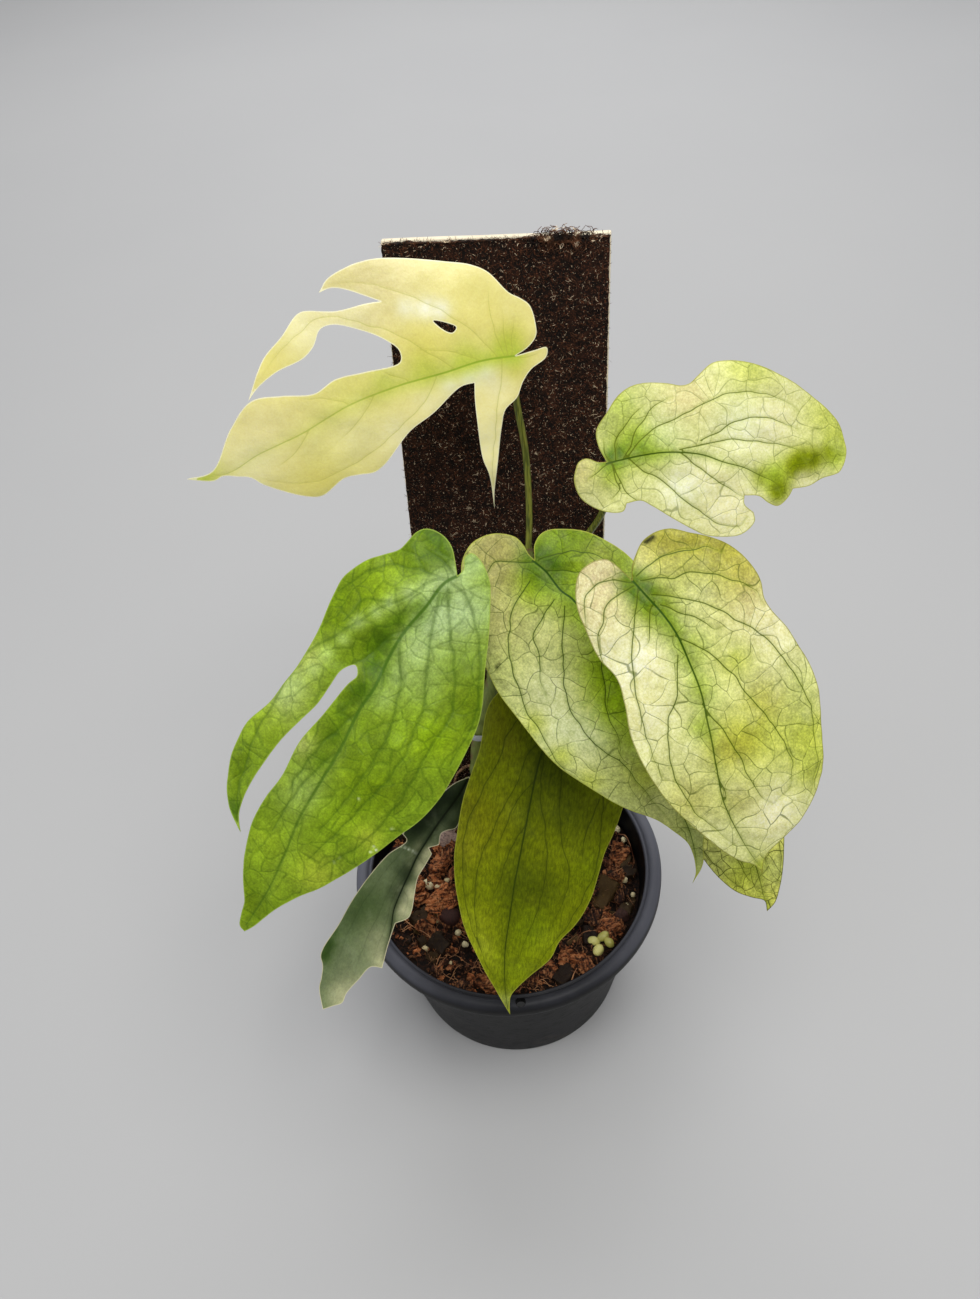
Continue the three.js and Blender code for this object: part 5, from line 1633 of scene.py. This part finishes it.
# Leaf 5: a green leaf with one long side lobe, cut free by a narrow slit. It is mottled with
# yellow-green between the veins, and its lobe folds up along a raised rib.
SHEEN = srgb(168, 190, 134)
ACID = srgb(134, 166, 12)
GLEAM = srgb(178, 202, 124)
SHADE = srgb(54, 86, 0)
# This pale colour makes the small white dots on leaf 5, which are painted glints, and the dotted scar on
# leaf 8.
SCAR_AND_GLINT = srgb(216, 222, 198)
GREEN_SKIN = dict(
    CREAM_SKIN,
    cell=5.5, line=0.45, mosaic=0.07, mottle=0.18, grain=0.22, net=0.34, halo_reach=1.6,
    vein_soft=0.5, vein_share=0.3, net_relief=0.25, fade=80,
    deep=srgb(62, 90, 2), pale=srgb(172, 196, 44), vein=srgb(48, 80, 2), midrib=srgb(62, 96, 10),
    rim=srgb(140, 162, 60), under=srgb(140, 156, 84), gloss=0.36, shine=0.12,
)
LEAF_5 = dict(
    LEAF, base=(-6, -8, 243), tip=(-79, -67, 163), face=(-0.08, -0.76, 0.64),
    rise=8, droop=7, half=32, wave=1, period=70, seed=5.0,
    crimp=0.25, side_rib=0.05,
    lifts=[
        (16, -12, 5, 2.8), (28, -19, 6, 3.0), (42, -23, 7, 2.4), (30, -9, 5, -2.2), (18, -5, 5, -1.2),
        (60, 15, 16, 1.4),
    ],
    outline=[
        (0, 0, 1), (-3.5, -3), (-6, -5.5), (-7.5, -9), (-7.5, -12.5), (-6.5, -15), (-4.5, -16.5),
        (2, -18), (5.5, -21), (9.5, -24.5), (14.5, -27), (18, -28), (24.5, -27.5), (31.5, -26),
        (38, -25.5), (45, -25.5), (51.5, -26.5), (58.5, -27.5), (67.5, -30.5), (73, -30.5), (78, -30),
        (83.5, -28), (88, -26), (92.5, -22.5), (96.5, -16, 1), (92.5, -19), (88.5, -20), (81, -20.5),
        (74, -20), (66, -19), (58, -17), (50.5, -15), (44.5, -14.5), (39, -14), (36, -11.5),
        (38, -9.5), (41.5, -10.5), (52, -12), (63, -14), (74.5, -13.5), (82.5, -14.5), (90.5, -14.5),
        (96, -13.5), (102.5, -11.5), (109, -8.5), (115, -5), (119.5, -4), (123.5, -2.5),
        (124.5, -0.5, 1), (121.5, 1), (111.5, 4.5), (105, 8), (99, 12), (92.5, 15.5), (86, 18.5),
        (79, 21.5), (72, 24), (64.5, 27), (56.5, 28.5), (49, 28.5), (41, 28), (33.5, 27), (27.5, 25),
        (18.5, 20.5), (9, 16), (0, 11), (-3.5, 8.5), (-7, 3.5), (-7.5, 0), (-5.5, -1), (-2.5, 0.5),
    ],
    stalk=[(-14, 141.3, 62.3), (-14.4, 121.2, 47.1), (-9.9, 96, 25.2), (-6, 68, 4.4)],
    veins=[
        [(0, 0), (3.5, -2), (12, -3), (20.5, -4.5), (29.5, -4.5), (38.5, -3.5), (46, -4), (57, -3),
         (71, -3), (82.5, -3), (94.5, -1.5), (107.5, -0.5), (122, -1)],
        [(2, -1.5), (4, -4.5), (12.5, -9.5), (22.5, -16), (29, -19), (35.5, -23), (46, -26),
         (63.5, -26.5), (78.5, -24.5), (86, -23), (94.5, -18.5)],
        [(15, -2.5), (20.5, -4.5), (24, -7.5), (32, -10), (37, -12.5)],
        [(4.5, 0), (14, 6), (22.5, 13), (33, 18.5), (45.5, 19), (62.5, 19), (78, 16.5), (93.5, 9.5)],
        [(2.5, -0.5), (4, 6), (12.5, 14.5), (24, 22), (35.5, 25.5), (47, 26)],
        [(7, -1.5), (19, 3), (31.5, 9), (39.5, 12), (55.5, 13.5), (75, 9.5), (91.5, 5.5)],
        [(2.5, -2.5), (4, -10), (7, -18), (14, -24), (20.5, -26.5)],
        [(0, -1.5), (-1.5, -6.5), (-2, -12)],
        [(15.5, -12.5), (19, -19), (27, -20.5)],
        [(23.5, -4.5), (35.5, 3), (46.5, 6.5), (63, 6.5), (82.5, 4)],
        [(46.5, -4), (52, -5.5), (60.5, -8.5), (76.5, -9.5)],
        [(59, -2.5), (64, -5), (74, -7.5), (90.5, -8)],
    ],
    # SHEEN patches, and the SHEEN along the midrib, are a painted sheen; GLEAM patches are painted
    # highlights along the raised rib of the side lobe, and SHADE patches are painted shade between that rib
    # and the midrib and at the foot.
    patches=[
        (6, 3, 12, SHEEN, 0.8), (17, 6, 12, SHEEN, 0.55), (-5, -12, 11, MOSS, 0.85),
        (13, -20, 10, SPRING, 0.6), (94, -9, 10, SPRING, 0.5), (-5, -12, 9, SHADE, 0.6),
        (53, -26, 9, SAGE, 0.8), (30, 9, 9, SHEEN, 0.35), (62, 16, 9, FERN, 0.6),
        (7, 3, 8, SHEEN, 0.5), (19, -23, 8, MOSS, 0.6), (27, -21, 8, MOSS, 0.7),
        (66, -28, 8, SPRING, 0.7), (2, 6, 8, SHEEN, 0.6), (42, 18, 8, ACID, 0.8),
        (29, 21, 8, MOSS, 0.6), (65, 5, 8, MOSS, 0.5), (77, 5, 8, ACID, 0.6), (75, -7, 8, SHEEN, 0.4),
        (81, -26, 7, MOSS, 0.6), (-5, 7, 7, FERN, 0.8), (20, 13, 7, FERN, 0.5), (63, 12, 7, MOSS, 0.8),
        (95, 10, 7, LIME, 0.6), (-5, 1, 6, SHEEN, 0.7), (53, -26, 6, GLEAM, 0.6),
        (37, -7, 6, MOSS, 0.75), (115, -2, 6, MOSS, 0.7), (54, -3, 6, MOSS, 0.6),
        (-4, -4, 5, SHADE, 0.4), (41, -24, 5, SAGE, 0.7), (92, -20, 5, DEEP, 0.5),
        (10, 0, 4, SHEEN, 0.6), (16, 0, 4, SHEEN, 0.6), (24, 0, 4, SHEEN, 0.55),
        (32, 0, 4, SHEEN, 0.5), (40, 0, 4, SHEEN, 0.4), (63, -13, 4, SAGE, 0.7),
        (77, 17, 4, LIME, 0.6), (34, -6, 3.8, SHADE, 0.9), (41, -6, 3.6, SHADE, 0.85),
        (19, -7, 3.6, SHADE, 0.7), (25, -9, 3.6, SHADE, 0.65), (48, -6, 3.4, SHADE, 0.8),
        (13, -4, 3.2, SHADE, 0.65), (27, -7, 3, SHADE, 0.6), (56, -6, 3, SHADE, 0.5),
        (64, -6, 3, SHADE, 0.4), (49, -23, 3, GLEAM, 0.4), (31, -11, 3, SHADE, 0.5),
        (43, -21, 2.8, GLEAM, 0.5), (7, -1, 2.8, SHADE, 0.5), (37, -20, 2.6, GLEAM, 0.5),
        (-1, -1, 2.4, GLEAM, 0.6), (3, -4, 2.4, GLEAM, 0.8), (7, -6, 2.4, GLEAM, 0.8),
        (11, -9, 2.4, GLEAM, 0.8), (16, -12, 2.4, GLEAM, 0.7), (20, -14, 2.4, GLEAM, 0.7),
        (25, -17, 2.4, GLEAM, 0.6), (31, -18, 2.4, GLEAM, 0.6), (79, 20.6, 0.4, SCAR_AND_GLINT, 0.9),
        (80.3, 19.6, 0.4, SCAR_AND_GLINT, 0.9), (78.6, 19.4, 0.4, SCAR_AND_GLINT, 0.7), (67.8, 8.9, 0.4, SCAR_AND_GLINT, 0.7),
        (88.8, 12.1, 0.4, SCAR_AND_GLINT, 0.8), (70.8, 21.3, 0.4, SCAR_AND_GLINT, 0.7), (86.8, 12.8, 0.35, SCAR_AND_GLINT, 0.6),
    ],
    ground=FERN,
    rib_tint=(SHEEN, 1.8, 0.45, 60),
)
grow_leaf("leaf_5", LEAF_5, leaf_skin("mottled_leaf", GREEN_SKIN), "leaf_green")

# Leaf 6: small and olive green, with a close dark net, low on the right behind leaf 3.
# It hangs from a joint halfway up the stem.
SMALL_SKIN = dict(
    CREAM_SKIN,
    cell=4, line=0.18, mosaic=0.06, fleck=0.3, grain=0.3, net=0.85, fine_net=0.15, deep=srgb(92, 104, 12),
    pale=srgb(190, 194, 100), vein=srgb(54, 62, 6), midrib=srgb(54, 68, 6), rim=srgb(70, 70, 16),
    under=srgb(140, 142, 76),
)
LEAF_6 = dict(
    LEAF, base=(65, -3, 172), tip=(84, -60, 129), face=(-0.19, -0.63, 0.75),
    rise=5, droop=5, half=28, wave=1, period=36, seed=6.0,
    pucker=0.6, crimp=0.25, keel=0.3, rib=0.15, side_rib=0.05,
    outline=[
        (0, 0, 1), (-3, -3.5), (-1.5, -8), (3.5, -12), (13.5, -14.5), (25.5, -15.5), (37.5, -15.5),
        (48.5, -13.5), (54, -12), (59, -10), (64, -7), (67.5, -3), (70, 0.5), (73.5, 0, 1),
        (71.5, 3.5), (67.5, 6.5), (61.5, 10), (54.5, 13), (45.5, 16.5), (33, 19.5), (19, 20), (7, 18),
        (-0.5, 13.5), (-4, 8.5), (-4, 3.5),
    ],
    stalk=[(54.6, 75.9, 34.1), (34.2, 66, 18.9), (10, 66, 10), (-6, 68, 4.4)],
    veins=[
        [(0, 0), (12, 1), (26, 1.5), (42, 2), (57.5, 2), (71.5, 0.5)],
        [(4.5, 0), (10.5, -7.5), (21, -12.5), (33, -14.5), (45.5, -12.5), (59.5, -7.5), (68, -2)],
        [(12, 1), (22.5, -3.5), (39.5, -5), (56, -2.5), (68, 0.5)],
        [(4, 1), (13, 9), (28.5, 13), (46, 13), (60.5, 9.5), (69, 3.5)],
        [(20, 1), (33, 6.5), (47, 7), (60.5, 5)],
    ],
    patches=[
        (52, -10, 8, SAGE, 0.6), (58, 0, 6, MOSS, 0.45), (61, 8, 6, SAGE, 0.7), (61, -5, 5, LIME, 0.5),
        (71, -1, 4, MOSS, 0.3),
    ],
    ground=srgb(200, 200, 98),
    rib_tint=(srgb(106, 120, 24), 1.6, 0.6, 80),
)
grow_leaf("leaf_6", LEAF_6, leaf_skin("olive_leaf_small", SMALL_SKIN), "leaf_olive")

# Leaf 7: a long olive leaf that hangs over the rim, fine-grained, with thin lengthwise veins and a
# pale pinched tip.
OLIVE = srgb(108, 118, 2)
BRONZE = srgb(112, 112, 8)
DARK_OLIVE = srgb(62, 74, 0)
OLIVE_SKIN = dict(
    CREAM_SKIN,
    cell=4, line=0.14, streak=(0.3, 1, 1), mosaic=0.03, mottle=0.08, grain=0.34, net=0.2,
    fine_net=0.0, halo=0.25, halo_reach=2.0, vein_soft=0.26, vein_share=0.6, net_relief=0.05, fade=150,
    groove=0.3, deep=srgb(64, 74, 0), pale=srgb(148, 152, 30), vein=srgb(46, 56, 0),
    midrib=srgb(44, 58, 0), rim=srgb(150, 154, 50), under=srgb(124, 128, 54), gloss=0.45, shine=0.08,
)
LEAF_7 = dict(
    LEAF, base=(21, -4, 175), tip=(-4, -69, 90), face=(-0.11, -0.77, 0.62),
    rise=6, droop=6, half=27, wave=0.6, period=58, seed=7.0,
    quilt=0.15, pucker=0.8, crimp=0.2, side_rib=0.02, wander=0.6,
    outline=[
        (0, 0, 1), (-3.5, -2.5), (-5.5, -5), (-7.5, -10.5), (-6.5, -16.5), (-1.5, -21), (3.5, -23),
        (17, -23.5), (25, -25), (33.5, -26.5), (40.5, -27), (47.5, -27), (54.5, -27), (62, -26),
        (69.5, -24), (76.5, -21.5), (83.5, -18), (92.5, -12), (102, -5.5), (110, 0, 1), (105.5, -0.7),
        (101.5, -0.5), (93, 5), (84.5, 11), (78.5, 13), (73, 16.5), (68, 19), (60.5, 21.5), (53, 22.5),
        (45.5, 23.5), (38.5, 25.5), (31.5, 27), (23, 28), (14.5, 27.5), (6.5, 24.5), (-0.5, 19),
        (-5, 13), (-6, 7.5), (-4, 3),
    ],
    stalk=[(14.8, 80.1, 36.9), (6, 68.7, 19.5), (-5, 55, 9), (-11.8, 47, 4.4)],
    veins=[
        [(0, 0), (9, -1.5), (19, -3), (26.5, -3.5), (37.5, -4), (49, -4.5), (60.5, -5), (72.5, -5),
         (83.5, -5), (93.5, -4), (102, -2.5), (110, -0.5)],
        [(1.5, -0.5), (3, -10), (8.5, -14), (19, -16.5), (32, -21), (45, -24), (59.5, -23.5),
         (71.5, -20.5), (85, -14.5), (95.5, -8)],
        [(8, -1), (14.5, -6.5), (26, -9.5), (41, -14.5), (54, -18), (65, -18), (77.5, -16),
         (88.5, -12.5), (97, -7)],
        [(23.5, -3.5), (31, -8), (42, -11), (49.5, -13)],
        [(1.5, 0.5), (2.5, 8.5), (9, 16), (23.5, 19.5), (40.5, 21.5), (55, 20.5), (70, 15.5), (82, 9.5),
         (95, 3.5)],
        [(6.5, -1), (15.5, 4), (28.5, 6), (42, 8.5), (54, 13), (64.5, 12), (74.5, 9)],
        [(11.5, -1.5), (26.5, -1), (39.5, 2.5), (53, 5), (66, 4.5), (79.5, 1.5), (89.5, -1)],
        [(38, -4), (48.5, -8), (59.5, -10), (67, -12)],
        [(27, 19), (41, 16), (48, 16.5)],
    ],
    patches=[
        (61, -2, 10, DARK_OLIVE, 0.6), (42, -16, 9, BRONZE, 0.5), (34, 9, 9, DARK_OLIVE, 0.5),
        (4, -19, 8, BRONZE, 0.6), (8, -8, 8, DARK_OLIVE, 0.45), (20, 4, 8, DARK_OLIVE, 0.7),
        (36, -25, 8, BRONZE, 0.7), (76, 4, 8, MOSS, 0.5), (51, 20, 8, MOSS, 0.3),
        (92, -1, 8, SPRING, 0.3), (60, 5, 8, DARK_OLIVE, 0.5), (51, -25, 7, STRAW, 0.45),
        (12, -14, 6, BRONZE, 0.5), (77, -18, 6, LIME, 0.3), (79, 9, 6, LIME, 0.15),
        (90, -8, 5, LIME, 0.2), (85, -13, 5, LIME, 0.5), (105, -2, 4.5, SAGE, 0.9),
    ],
    ground=OLIVE,
    rib_tint=(DARK_OLIVE, 4.0, 0.7, 120),
)
grow_leaf("leaf_7", LEAF_7, leaf_skin("olive_leaf_long", OLIVE_SKIN), "leaf_olive")

# Leaf 8, the oldest: grey-green and satin smooth, with a deep midrib. Its edge is torn and has
# dried to a cream line, and an old scar crosses it.
SLATE = srgb(20, 30, 12)
GREY_GREEN = srgb(120, 130, 94)
DUSK = srgb(46, 70, 20)
DRY = srgb(190, 188, 146)
AGED_SKIN = dict(
    OLIVE_SKIN,
    cell=8, streak=(0.6, 1, 1), mottle=0.16, fleck=0.1, grain=0.12, net=0.05, halo=0.1, vein_share=0.2,
    deep=srgb(40, 54, 30), pale=srgb(146, 154, 120), vein=srgb(36, 48, 22), midrib=srgb(14, 22, 6),
    rim=srgb(216, 208, 172), under=srgb(108, 116, 92), gloss=0.4, shine=0.07,
)
LEAF_8 = dict(
    LEAF, base=(-11, 3, 134), tip=(-48, -46, 94), face=(0.01, -0.63, 0.77),
    rise=3, fold=1.5, droop=3, half=18, period=31, seed=8.0,
    quilt=0.1, crimp=0.1, rib=0.2, side_rib=0.02, wander=0.5,
    outline=[
        (0, 0, 1), (4.5, -4), (13, -8), (21, -11), (29, -13.5, 1), (30.5, -11), (38, -15), (48, -18),
        (59, -20), (70, -21), (80, -22.5), (83, -22), (85.5, -20), (90, -18.5), (94.5, -17.5),
        (100.5, -13, 1), (97.5, -10), (95, -7.5), (91, -7.5), (84, -5.5), (78, -3.5), (76.5, 0.5, 1),
        (68, -1), (59.5, -2, 1), (55.5, 1.5), (52.5, 1.5), (47, 0), (41, -1.5), (36, -1),
        (31, -0.5, 1), (29.5, -2.5, 1), (27, 0.5, 1), (23, -0.5), (21, 1), (19, 3.5), (13.5, 3.5),
        (7.5, 3), (2.5, 2.5),
    ],
    stalk=[(-14.7, 31, 31), (-15, 20, 17), (-15.8, 18, 4.6)],
    veins=[
        [(0.5, 0), (7, -0.5), (12.5, -1.5), (19.5, -3), (26, -4), (34, -5), (40, -5), (47, -5),
         (55.5, -4.5), (60.5, -3), (68.5, -1), (73, 0)],
        [(14, -2), (22, -5.5), (30, -9), (39, -12), (50, -14.5), (61, -16), (73.5, -16), (85, -15)],
        [(25.5, -4), (36.5, -7), (47.5, -9), (59.5, -9), (71.5, -9), (87.5, -7.5)],
        [(38.5, -5), (50, -6.5), (61.5, -5), (73, -4)],
        [(19.5, -2.5), (21, 1), (25, 5)],
        [(34, -5), (36.5, -0.5), (43, 0.5)],
        [(47, -5), (49.5, -1.5), (55.5, -0.5)],
    ],
    # The SLATE patches are painted shadow, darkest toward the foot, where leaf 5 shades this leaf.
    patches=[
        (14, -7, 14, SLATE, 1), (18, -8, 9, SLATE, 0.9), (48, -11, 9, GREY_GREEN, 0.5),
        (24, -9, 8, SLATE, 0.9), (57, -14, 8, DUSK, 0.35), (81, -10, 8, GREY_GREEN, 0.7),
        (64, -16, 7, DUSK, 0.3), (67, -5, 7, DRY, 0.5), (93, -8, 7, DRY, 0.85), (74, 0, 5, DRY, 0.9),
        (86, -4, 5, DRY, 0.5), (41, -6, 4, SLATE, 0.75), (49, -6, 4, SLATE, 0.5),
        (31, -3, 4, DRY, 0.95), (37, -2, 4, DRY, 0.95), (47, -1, 4, DRY, 0.95), (54, -1, 4, DRY, 0.9),
        (78, -21, 3.4, DUSK, 1), (15, -1, 3, GREY_GREEN, 0.6), (21, -2, 3, GREY_GREEN, 0.85),
        (26, -3, 3, GREY_GREEN, 0.75), (82, -21, 3, DUSK, 0.9), (73, -22, 2.6, DUSK, 0.8),
        (33.3, -12, 0.5, SCAR_AND_GLINT, 0.85), (33.1, -10.4, 0.5, SCAR_AND_GLINT, 0.85), (33, -8.9, 0.5, SCAR_AND_GLINT, 0.85),
        (33, -7.2, 0.5, SCAR_AND_GLINT, 0.85), (33.2, -5.9, 0.5, SCAR_AND_GLINT, 0.85),
    ],
    ground=srgb(98, 114, 74),
    rib_tint=(SLATE, 1.3, 0.85, 120),
)
grow_leaf("leaf_8", LEAF_8, leaf_skin("aged_leaf", AGED_SKIN), "leaf_aged")
